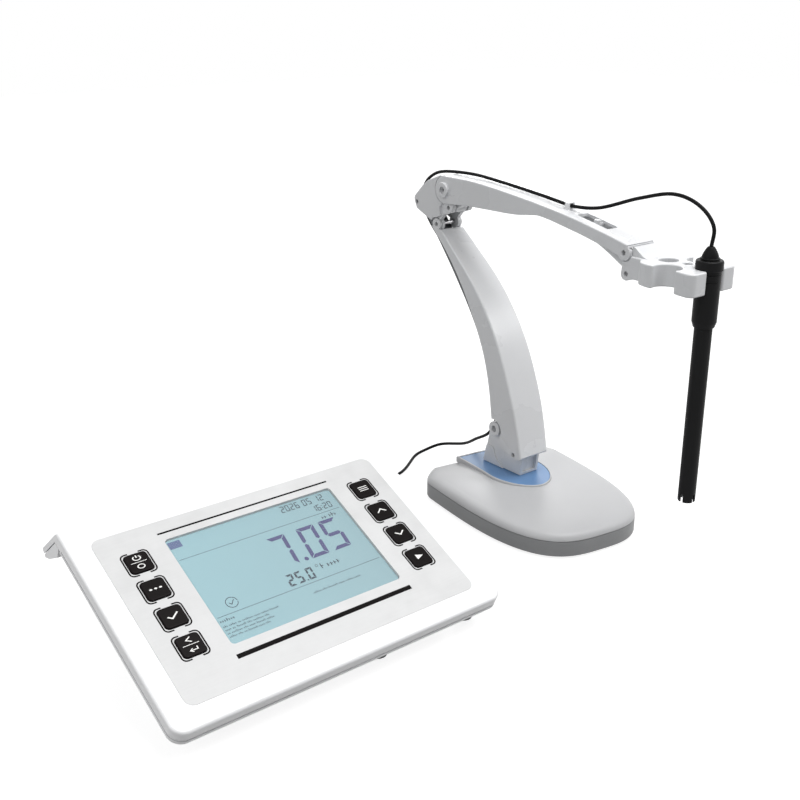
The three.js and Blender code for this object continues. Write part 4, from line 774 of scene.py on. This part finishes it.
# The lead's own plug: a knurled bayonet sleeve over the socket, a body and a tapered relief.
plug_sleeve = turned([
    (5.2, 149.4), (6.6, 149.4), (7.1, 149.9), (7.2, 152.2), (6.7, 152.5), (6.7, 156.2), (7.2, 156.5),
    (7.2, 158), (5.5, 159.7), (5.4, 168), (5.1, 168.3), (0, 168.3), (0, 156.8), (5.2, 156.6),
    (5.2, 149.4)], 48, "Y")
knurls = []
for k in range(24):
    ridge_line = solid([rectangle(-0.32, 0.32, 152.6, 156.1)], 6.5, 7.1)
    ridge_line.transform(Matrix.Rotation(math.radians(15 * k), 4, "Y"))
    knurls.append(ridge_line)
piece("bnc_plug", at_socket(gathered(plug_sleeve, *knurls), bnc_x), nickel, ROOT,
      upright)
relief_rings = [(0, 168.3), (3.7, 168.3)]
for k in range(6):
    y = 169.2 + 1.7 * k
    radius = 3.5 - 0.26 * k
    relief_rings += [(radius, y), (radius, y + 0.9), (radius - 0.45, y + 1.1),
                     (radius - 0.45, y + 1.5)]
relief_rings += [(1.9, 180.2), (0, 180.2)]
piece("bnc_plug_relief", at_socket(turned(relief_rings, 32, "Y"), bnc_x), lead_rubber, ROOT,
      upright, replaces=False)

# ---------------------------------------------------------------- the stand's base
# A heavy dark grey plate with a pale grey moulded cover over it. The cover has a rounded
# shoulder, a soft crease and a low dome, with a blue plate let in behind a raised rim.

base_place = Matrix.Rotation(math.radians(-8.25), 4, "Z")
base_back, base_length, base_half = 31.2, 162, 65.6


def footprint(length, back, widest, half, power, start=0):
    """Half a footprint from above: (half width, distance forward from the back edge)."""
    stations = [start + (widest - start) * i / 12 for i in range(12)]
    stations += [widest + (length - widest) * math.sin(i / 40 * math.pi / 2) for i in range(41)]
    half_print = []
    for t in stations:
        past = max(t - widest, 0) / (length - widest)
        if t < widest:
            width = half - (half - back) * ((widest - t) / widest) ** 2
        else:
            width = half * max(1 - past**power, 0) ** (1 / power)
        half_print.append((width, t))
    return half_print


def loop_of(half):
    left = [Vector((-w, base_back - t)) for w, t in half]
    right = [Vector((w, base_back - t)) for w, t in reversed(half[:-1])]
    return left + right


base_loop = loop_of(footprint(base_length, 50.7, 21.8, base_half, 3.15))
inlay_loop = loop_of(footprint(85.2, 26.9, 50.5, 24.7, 1.83, start=6))


def base_ring(inset, z):
    """The base's outline drawn in by so much, at a height."""
    half_length = base_length / 2
    middle = base_back - half_length
    return [Vector((p.x * (1 - inset / base_half),
                    middle + (p.y - middle) * (1 - inset / half_length), z)) for p in base_loop]


def grown(points, by):
    centre = sum(points, Vector((0, 0))) / len(points)
    wide = max(p.x for p in points) - min(p.x for p in points)
    long = max(p.y for p in points) - min(p.y for p in points)
    return [Vector((centre.x + (p.x - centre.x) * (1 + 2 * by / wide),
                    centre.y + (p.y - centre.y) * (1 + 2 * by / long))) for p in points]


base_grey = finish("base_grey", (0.285, 0.289, 0.296), 0.5, scale=1100, depth=1.2, bump=0.16,
                   tint=0.10)
base_top = finish("base_top", (0.500, 0.504, 0.514), 0.44, scale=1300, bump=0.12, tint=0.05)
inlay_blue = finish("inlay_blue", (0.130, 0.255, 0.470), 0.42, scale=1500, depth=0.9, bump=0.10,
                    tint=0.08)
plate = ring_mesh([base_ring(inset, z) for inset, z in (
    (1.2, 1.5), (0.4, 1.8), (0, 2.6), (0, 13.2), (0.3, 13.7))])
piece("base_plate", plate, base_grey, ROOT, base_place)
skin = [(0.4, 14.0), (0, 14.3), (0.25, 15.4), (0.8, 16.6), (1.55, 17.8), (2.8, 18.9), (4.5, 19.65),
        (6.6, 20.2), (8.2, 20.45), (9.3, 20.62), (10.2, 20.82), (14, 21.45), (19, 21.95), (24, 22.4),
        (33, 22.95), (44, 23.5), (54, 23.9)]
cover = ring_mesh([base_ring(inset, z) for inset, z in skin])
rim_up = solid([grown(inlay_loop, 1.8)], 20, 25.3, edge=0.7, steps=4)
pocket = solid([grown(inlay_loop, 0.3)], 23.2, 30)
piece("base_cover", cut(joined(cover, rim_up), pocket), base_top, ROOT, base_place, 24)
bolt_hole = disc(0, 0, 3.3)
piece("base_inlay", solid([inlay_loop, bolt_hole], 23.5, 25.1, edge=0.3), inlay_blue, ROOT,
      base_place)
pad_loop = [Vector(p[:2]) for p in base_ring(5, 0)]
piece("base_pad", solid([pad_loop], 0, 1.2, edge=0.2), foot_rubber, ROOT, base_place)
steel = finish("steel", (0.46, 0.46, 0.47), 0.3, scale=1500, depth=0.5, tint=0.12, bump=0.04,
               Metallic=1.0)
bolt = turned([(0, 2), (5.6, 2), (6, 2.4), (6, 6.5), (3, 6.5), (3, 29.2), (5.4, 29.2), (5.4, 33.2),
               (3, 33.2), (3, 34.6), (2.6, 35.2), (0, 35.2)], 36)
piece("swivel_bolt", bolt, steel, ROOT, base_place)

# ---------------------------------------------------------------- the swivel bracket
# A grey moulded fork that turns on the base. Its front is closed between two bright edges, its
# cheeks step out at the rear foot, and round bosses carry the pins of the lower arm.

# The hinges in the side view (y, z), half the room for a link, and the recess round a pin's end.
arm_foot, link_foot = (-27.5, 43.8), (-4, 59.3)
arm_elbow, link_elbow = (75.5, 216), (99, 231.5)
upper_hinge, upper_link_hinge = (64.2, 245.8), (61.7, 231.3)
arm_head, link_head = (-125.8, 227.6), (-128.3, 213.1)
link_room, pin_recess = 7.3, 2.9


def across(outlines, half, edge=0.0, start=None, steps=3):
    """Side outlines (y, z) carried across: over the whole width, or from start on both sides."""
    spans = [(-half, half)] if start is None else [(start, half), (-half, -start)]
    meshes = []
    for low_x, high_x in spans:
        mesh = solid(outlines, low_x, high_x, edge, steps)
        mesh.transform(side_view)
        meshes.append(mesh)
    return gathered(*meshes) if len(meshes) > 1 else meshes[0]


def boss(at, radius, half, edge=0.0, start=None):
    return across([disc(*at, radius)], half, edge, start)


def block(half, y0, y1, z0, z1):
    return solid([rectangle(-half, half, y0, y1)], z0, z1)


def pin_holes(*places):
    return [across([disc(*at, 1.9, 32)], 25) for at in places]


arm_grey = finish("arm_grey", (0.690, 0.698, 0.712), 0.29, scale=1300, depth=0.9, bump=0.10,
                  tint=0.05)
fork_outline = rounded([
    (-30.8, 25.4), (12.8, 25.4, 0.8), (8.9, 40.9, 25), (5.2, 58.3, 8), (-8.6, 67.5, 8),
    (-30.9, 49.4, 5), (-32.7, 40.8, 4)], 10)
rear_foot = rounded([(-11.5, 25.4), (12.2, 25.4, 0.8), (9.6, 37.5, 8), (8.4, 40.9), (0.6, 40.9, 5),
                     (-2.1, 32.6, 12)], 8)
fork = joined(across([fork_outline], 10, 0.5), across([rear_foot], 11, 0.35, 8.5),
              boss(link_foot, 6.2, 15.2, 0.7, 9), boss(arm_foot, 4.6, 12.3, 0.4, 9))
fork = cut(
    fork, block(link_room, -28, 30, 28.9, 90), block(link_room, -45, -28, 39.8, 90),
    block(link_room, -45, -29, 27.4, 90), boss(link_foot, pin_recess, 20, 0, 11),
    *pin_holes(arm_foot, link_foot), solid([bolt_hole], 0, 40))
piece("swivel_bracket", fork, arm_grey, "bracket")

# ---------------------------------------------------------------- the lower arm and its link
# A long curved channel of grey ABS, open at the back, that swells in the middle. A steel link
# behind it keeps the elbow upright, its dark grey colour painted shade; the lead lies in a groove
# down the link's back.


def curve_through(points, fine=10):
    return [Vector((p.x, p.y)) for p in smooth_route([(*p, 0) for p in points], fine)]


def at_height(line, z):
    """Where a curve of the side view that rises all the way passes a height."""
    for a, b in zip(line, line[1:]):
        if (a.y - z) * (b.y - z) <= 0 and a.y != b.y:
            return a.x + (b.x - a.x) * (z - a.y) / (b.y - a.y)
    end = line[0] if abs(line[0].y - z) < abs(line[-1].y - z) else line[-1]
    return end.x


front_line = curve_through([(-40, 30), (-36.4, 43.5), (-32.5, 60.9), (-25.3, 86.7), (-5.8, 132),
                            (21, 169.5), (53.5, 198.8), (68.5, 211.4), (76, 217.7)])
rear_line = curve_through([(-5, 30), (-4, 50), (-1.4, 67.4), (2, 91.7), (9.1, 117.8), (21, 142.4),
                           (41.5, 173.5), (62.2, 196.7), (81.8, 214), (88, 219.5)])


def lower_half(z):
    k = (z - 130) / 90
    return 16.1 - 1.7 * k - 2.6 * k * k


def channel_ring(z):
    """The arm cut at one height: a U with soft outer corners, open to the back."""
    half, front_y, rear_y = lower_half(z), at_height(front_line, z), at_height(rear_line, z)
    lean = 1 + 0.35 * max(z - 130, 0) / 90
    corner, wall, front_wall = 1.7, 2.2, 2.3 * lean
    right = [(half - 0.5, rear_y), (half - 0.15, rear_y - 0.15), (half, rear_y - 0.5)]
    right += [(half - corner + corner * math.cos(a), front_y + corner - corner * math.sin(a))
              for a in [math.radians(15 * k) for k in range(7)]]
    right += [(half - corner - 0.4, front_y)]
    inner = [(-half + wall + 0.3, rear_y), (-half + wall, rear_y - 0.3),
             (-half + wall, front_y + front_wall + 0.8), (-half + wall + 0.8, front_y + front_wall)]
    left = [(-x, y) for x, y in reversed(right)]
    ring = right + left + inner + [(-x, y) for x, y in reversed(inner)]
    return [Vector((x, y, z)) for x, y in ring]


heights = [36 + 4 * k for k in range(46)]
channel = ring_mesh([channel_ring(z) for z in heights])
below_skirt = [(-80, 20), (40, 20), (40, 67.4), (-1.4, 67.4), (-10.2, 47.2, 5), (-29, 40.2, 5),
               (-34.8, 41.2, 2), (-36.6, 43.5), (-80, 43.5)]
over_top = [(40, 208), (60, 209.9), (81.8, 214), (100, 217), (100, 260), (40, 260)]
channel = cut(channel, across([rounded(below_skirt, 8)], 25), across([over_top], 25),
              boss(link_foot, 8.9, 20, 0, 12.9))
channel = joined(channel, boss(arm_elbow, 4.8, 12.1, 0.25, 9.7), boss(arm_foot, 4, 14.6, 0, 12.6))
channel = cut(channel, *pin_holes(arm_foot, arm_elbow), boss(arm_elbow, 6, 9.6))
piece("lower_arm", channel, arm_grey, "lower_arm_body", angle=28)

# The link's dark grey colour is painted shade: it stands for the shade the link lies in behind the
# arm's flanks.
link_dark = finish("link_dark", (0.085, 0.088, 0.095), 0.42, scale=1200, depth=0.8, tint=0.15,
                   bump=0.08, Metallic=0.7)


def bar(points, thickness, half, eye, edge=0.5):
    """A curved bar of even thickness with an eye at each end, seen from the side."""
    line = curve_through(points, 8)
    low_side, high_side = [], []
    for i, at in enumerate(line):
        ahead = (line[min(i + 1, len(line) - 1)] - line[max(i - 1, 0)]).normalized()
        side = Vector((-ahead.y, ahead.x)) * thickness / 2
        low_side.append(at - side)
        high_side.append(at + side)
    return joined(across([low_side + high_side[::-1]], half, edge),
                  *[boss(end, eye, half, edge) for end in (points[0], points[-1])])


lower_link = bar([link_foot, (6.2, 95), (27.8, 140), (56, 180), link_elbow], 7, 6.9, 5)
groove = bar([(5, 75.6), (10.5, 93.6), (31.1, 137.8), (60.0, 177.6), (89.6, 213.5)],
             5.2, 1.8, 0.5, 0)
piece("lower_link", cut(lower_link, groove, *pin_holes(link_foot, link_elbow)), link_dark,
      "lower_link_body")

# ---------------------------------------------------------------- the elbow
# A grey moulded bracket between the two arms: broad cheeks with a rounded back, a narrower
# tongue down in front, and a foot between the ears of the lower arm.

cheeks = rounded([
    (61.7, 240), (70.3, 231.2), (69.5, 224), (80.9, 218.6, 1), (99.6, 226.1, 4), (103.5, 235.1, 4),
    (92, 246.2, 12), (85.8, 250.8, 12), (70.6, 256.8, 2.5), (61, 256.8)], 10)
tongue_outline = rounded([
    (56.6, 241.8), (56, 232, 2), (58.5, 227.6, 3), (67.5, 224.6, 3), (71.5, 220), (81, 222),
    (72.4, 226), (72.4, 245.8)], 8)
elbow = cut(across([cheeks], 13.6, 0.8, steps=4), boss(upper_hinge, 11.6, 20),
            boss(arm_elbow, 5.9, 20))
elbow = joined(elbow, across([tongue_outline], 11.3, 0.4), boss(upper_hinge, 8.4, 11.3, 0.3))
elbow = joined(cut(elbow, boss(arm_elbow, 5.85, 20, 0, 9.2)), boss(arm_elbow, 5.6, 9.2, 0.3))
inside_elbow = rounded([(44, 200), (110, 200), (109, 232.5), (100, 238.3, 3), (86, 246, 6),
                        (78, 250.6), (44, 250.6)], 8)
elbow = cut(elbow, across([inside_elbow], 7.3), across([rectangle(44, 75.2, 200, 262)], 7.29),
            *pin_holes(upper_hinge, arm_elbow, link_elbow, upper_link_hinge))
piece("elbow_bracket", elbow, arm_grey, "elbow")

# ---------------------------------------------------------------- the upper arm and its link
# A slender arched channel, open below, with a round end at the elbow, a slot with a post near the
# head and a small clip that holds the lead. A slim grey link under it keeps the head level.

crown = [(64.2, 257.1), (32.9, 256.9), (9.9, 255.3), (-33.8, 250.6), (-74.6, 244.7),
         (-112.8, 237.1), (-129, 233.3)]
sole = [(-124.7, 223.6), (-94.8, 231.3), (-75.2, 235.3), (-42.7, 240.5), (-32, 239.6),
        (-17.5, 237.8), (32.3, 236.6), (64.2, 234.5)]
round_end = [Vector(p) for p in arc(*upper_hinge, 11.3, -80, 80)]
arm_outline = curve_through(crown, 8) + curve_through(sole, 8) + round_end
upper = joined(across([arm_outline[::-1]], 14, 1.0, steps=4), boss(arm_head, 5.7, 14, 1.0))
ceiling = [(100, 254.9)] + [(y, z - 2.2) for y, z in curve_through(crown, 6)] + [(-155.8, 224.1)]
hollow = across([ceiling + [(-155.8, 200), (100, 200)]], 11.8)
upper = cut(
    upper, hollow, solid([rectangle(-5.6, 5.6, -103, -73, 1.2)], 225, 300),
    solid([disc(6, 39, 1.6, 24)], 250, 262), block(20, -155.8, -129.2, 230.6, 300))
upper = joined(
    upper, boss(upper_hinge, 6.2, 16.4, 0.8, 12.5), block(6.9, -129.2, -128, 228.5, 232.1),
    block(6.1, -89.6, -86.4, 238.9, 240.4))
upper = cut(upper, *pin_holes(upper_hinge, arm_head), boss(upper_hinge, pin_recess, 20, 0, 14.2))
slot_post = turned([(0, 239.2), (2.6, 239.2), (2.6, 242.7), (2.2, 243.2), (0, 243.2)], 32)
front_view = Matrix(((1, 0, 0, 0), (0, 0, -1, 0), (0, 1, 0, 0), (0, 0, 0, 1)))
clip = solid([rounded([(-4.6, 246.2), (4.6, 246.2), (3.4, 252, 1.6), (-3.4, 252, 1.6)], 6),
              disc(0, 249.4, 1.8)], -1.8, 1.8, edge=0.35)
clip.transform(Matrix.Translation((0, -61, 0)) @ front_view)
piece("upper_arm", gathered(upper, moved(slot_post, y=-88), clip), arm_grey, "upper_arm_body",
      angle=28)
upper_link = bar([upper_link_hinge, (44, 240), (10, 245.4), (-40, 243), (-90, 232), link_head],
                 5, 5.9, 4.4)
piece("upper_link", cut(upper_link, *pin_holes(upper_link_hinge, link_head)), arm_grey,
      "upper_link_body")

# ---------------------------------------------------------------- the pins
# Eight short steel pins with a hexagon socket in each end, one at each hinge of the two
# linkages. They pass through slightly wider holes, with their ends a little inside them.

pins = {
    "pin_arm_foot": (arm_foot, 13.9, "bracket"), "pin_link_foot": (link_foot, 11, "bracket"),
    "pin_arm_elbow": (arm_elbow, 10.7, "lower_arm_body"),
    "pin_link_elbow": (link_elbow, 12.2, "elbow"),
    "pin_upper_arm": (upper_hinge, 14.2, "elbow"),
    "pin_upper_link": (upper_link_hinge, 9.9, "elbow"),
    "pin_head_arm": (arm_head, 12.6, "head"), "pin_head_link": (link_head, 11.6, "head"),
}
for name, (at, half, body) in pins.items():
    hexagon = disc(*at, 0.95, 6)
    made = cut(across([disc(*at, 1.6, 28)], half, 0.2), across([hexagon], half + 1, 0, half - 1.2))
    piece(name, made, steel, body)

# ---------------------------------------------------------------- the electrode holder
# A pale moulded block on the end of the arm: two round bores, a notch in each side, and an open
# seat at the front whose prongs hold the electrode under its collar.


def notch(fillet=1.5):
    """The notch in the right side with its soft lips, from the rear lip to the front one."""
    x, y, radius, edge_x = 17.8, -167, 9.6, 22.4
    reach = math.sqrt((radius + fillet) ** 2 - (edge_x - fillet - x) ** 2)
    turn = math.degrees(math.atan2(reach, edge_x - fillet - x))
    line = arc(edge_x - fillet, y + reach, fillet, 0, turn - 180, 6)
    line += arc(x, y, radius, turn, 360 - turn, 30)
    return line + arc(edge_x - fillet, y - reach, fillet, 180 - turn, 0, 6)


tip_y, seat_y, seat_radius, tip_round = -192, -186.6, 8.6, 2.2
tip_rise = tip_y + tip_round - seat_y
tip_x = math.sqrt((seat_radius + tip_round) ** 2 - tip_rise**2)
tip_turn = math.degrees(math.atan2(-tip_rise, tip_x))
side_start = rounded([(13, -126.8), (13, -140, 3), (20.5, -145.5, 3), (22.4, -152, 2),
                      (22.4, -156)], 6)
right_side = [*[tuple(p) for p in side_start[:-1]], *notch()]
right_side += [tuple(p) for p in rounded([(22.4, -175), (23.6, -185, 3), (23.6, tip_y, 5),
                                          (tip_x, tip_y)], 8)[1:-1]]
right_side += arc(tip_x, tip_y + tip_round, tip_round, -90, -180 - tip_turn, 6)
seat = arc(0, seat_y, seat_radius, -tip_turn, 180 + tip_turn, 40)
left_side = [(-x, y) for x, y in reversed(right_side)]
head_outline = [Vector(p) for p in right_side + seat[1:-1] + left_side]
head = solid([head_outline[::-1], disc(0, -153.4, 6.75), disc(1.5, -168.4, 3.4, 32)], 210, 225.8,
             edge=1.1, steps=4)
neck = across([rounded([
    (-123.8, 208.7, 4), (-128.3, 208.1, 4), (-134.3, 210.1, 4), (-135.8, 211), (-131.8, 225.6),
    (-122.5, 223.6), (-124.3, 222.1, 3), (-123.6, 213.1, 4)], 8)], 13, 0.6)
nose = across([[
    (-130.0, 224.9), (-129.9, 227.8), (-130.5, 229), (-131.5, 231), (-132.1, 232.3), (-133.2, 232.2),
    (-137.2, 229.3), (-141.2, 226.9), (-144, 225.9), (-144, 224.9)]], 11.2, 0.3)
head = joined(head, neck, boss(arm_head, 3, 11.3, 0.3), nose)
head = cut(
    head, boss(arm_head, 6.3, 20, 0, 11.3), block(link_room, -134.8, -125.8, 190, 223.8),
    block(link_room, -129.3, -95.8, 190, 240), *pin_holes(arm_head, link_head))
piece("electrode_holder", head, arm_grey, "head")

# ---------------------------------------------------------------- the electrode
# A black plastic body: a plain collar on top, a handle with two grooves round it, and a long slim
# shaft whose slotted end guards the glass bulb. A soft boot stands where the lead comes out.

electrode_black = finish("electrode_black", (0.012, 0.012, 0.0125), 0.42, scale=1300, depth=0.9,
                         bump=0.10, tint=0.12, Specular_IOR_Level=0.08)


def hung(profile, sides=64):
    return moved(turned(profile, sides), y=seat_y)


def ring_groove(z):
    return [(8.3, z - 0.5), (7.9, z - 0.28), (7.9, z + 0.28), (8.3, z + 0.5)]


cap_profile = [
    (0, 186.2), (6.8, 186.2), (7.1, 186.5), (8.15, 189.7), (8.3, 190.3), *ring_groove(218),
    *ring_groove(223), (8.3, 225.1), (8.95, 225.1), (9.2, 225.4), (9.2, 230.6), (9.0, 231.3),
    (8.4, 231.8), (0, 231.8)]
piece("electrode_cap", hung(cap_profile), electrode_black, "electrode")
shaft_profile = [(0, 70.5), (4.8, 70.5), (4.8, 58.5), (5.5, 58.5), (5.9, 58.8), (6.1, 59.5),
                 (6.1, 185.9), (0, 185.9)]
slots = [moved(block(x, -y, y, 50, 64.5), y=seat_y) for x, y in ((1.2, 9), (9, 1.2))]
piece("electrode_shaft", cut(hung(shaft_profile), *slots), electrode_black, "electrode")
bulb_profile = [(0, 59.9), *arc(0, 63.5, 3.6, -80, 40, 12), (2.5, 66.6), (2.4, 70.2), (0, 70.2)]
bulb_glass = finish("bulb_glass", (0.80, 0.86, 0.86), 0.08, scale=300, tint=0.0, bump=0.0,
                    Transmission_Weight=0.7)
piece("glass_bulb", hung(bulb_profile, 40), bulb_glass, "electrode")
boot_profile = [
    (0, 232.1), (6.2, 232.1), (6.5, 232.4), (6.5, 232.9), (6.2, 233.3), (5.6, 233.5), (5.4, 234.6),
    (4.9, 236), (4.2, 237.4), (3.4, 238.8), (2.7, 239.9), (2.1, 240.5), (1.7, 240.6), (0, 240.6)]
piece("cord_boot", hung(boot_profile, 48), lead_rubber, "electrode")

# ---------------------------------------------------------------- the studio
# A white bench under four soft lamps; what lies behind is white too. The camera, mirror-like
# surfaces and glass see both as plain white, and only the lamps and a dimmer room light the object.


def seen_directly(nodes, links):
    """1 for rays from the camera, a reflection or glass, and 0 for the rest."""
    rays = nodes.new("ShaderNodeLightPath")
    total = rays.outputs["Is Camera Ray"]
    for kind in ("Is Glossy Ray", "Is Transmission Ray"):
        added = operation(nodes, "ADD")
        added.use_clamp = True
        links.new(total, added.inputs[0])
        links.new(rays.outputs[kind], added.inputs[1])
        total = added.outputs[0]
    return total


bench_white = bpy.data.materials.new("bench_white")
bench_white.use_nodes = True
nodes, links = bench_white.node_tree.nodes, bench_white.node_tree.links
bench = nodes["Principled BSDF"]
set_inputs(bench, Base_Color=(0.25, 0.25, 0.25, 1), Roughness=0.6, Emission_Color=(1, 1, 1, 1))
bench_level = operation(nodes, "MULTIPLY")
bench_level.inputs[1].default_value = 0.86
links.new(seen_directly(nodes, links), bench_level.inputs[0])
links.new(bench_level.outputs[0], bench.inputs["Emission Strength"])
bench_mesh = bpy.data.meshes.new("bench")
bench_mesh.from_pydata([(-4, -4, 0), (4, -4, 0), (4, 4, 0), (-4, 4, 0)], [], [(0, 1, 2, 3)])
bench_mesh.materials.append(bench_white)
bench_top = placed("bench", bench_mesh)
bench_top.location.z = -0.0002

world = bpy.data.worlds.new("studio")
bpy.context.scene.world = world
world.use_nodes = True
nodes, links = world.node_tree.nodes, world.node_tree.links
sky = nodes["Background"]
set_inputs(sky, Color=(1, 1, 1, 1))
level = nodes.new("ShaderNodeMapRange")
set_inputs(level, To_Min=0.33, To_Max=1.0)
links.new(seen_directly(nodes, links), level.inputs["Value"])
links.new(level.outputs["Result"], sky.inputs["Strength"])


def lamp(name, place, target, size, power):
    data = bpy.data.lights.new(name, "AREA")
    data.shape = "DISK"
    data.size = size
    data.energy = power
    made = placed(name, data)
    made.location = place
    made.rotation_mode = "QUATERNION"
    made.rotation_quaternion = (Vector(target) - Vector(place)).to_track_quat("-Z", "Y")


middle = (-0.12, -0.05, 0.1)
lamp("high_soft_lamp", (0.15, -0.4, 1.45), middle, 1.0, 18)
lamp("front_soft_lamp", (0.95, -0.95, 1.1), middle, 0.4, 5)
lamp("side_soft_lamp", (-1.3, -0.1, 1.0), middle, 1.0, 4.5)
lamp("far_soft_lamp", (1.5, 1.7, 1.1), middle, 0.9, 8)

bpy.context.scene.view_settings.view_transform = "Standard"
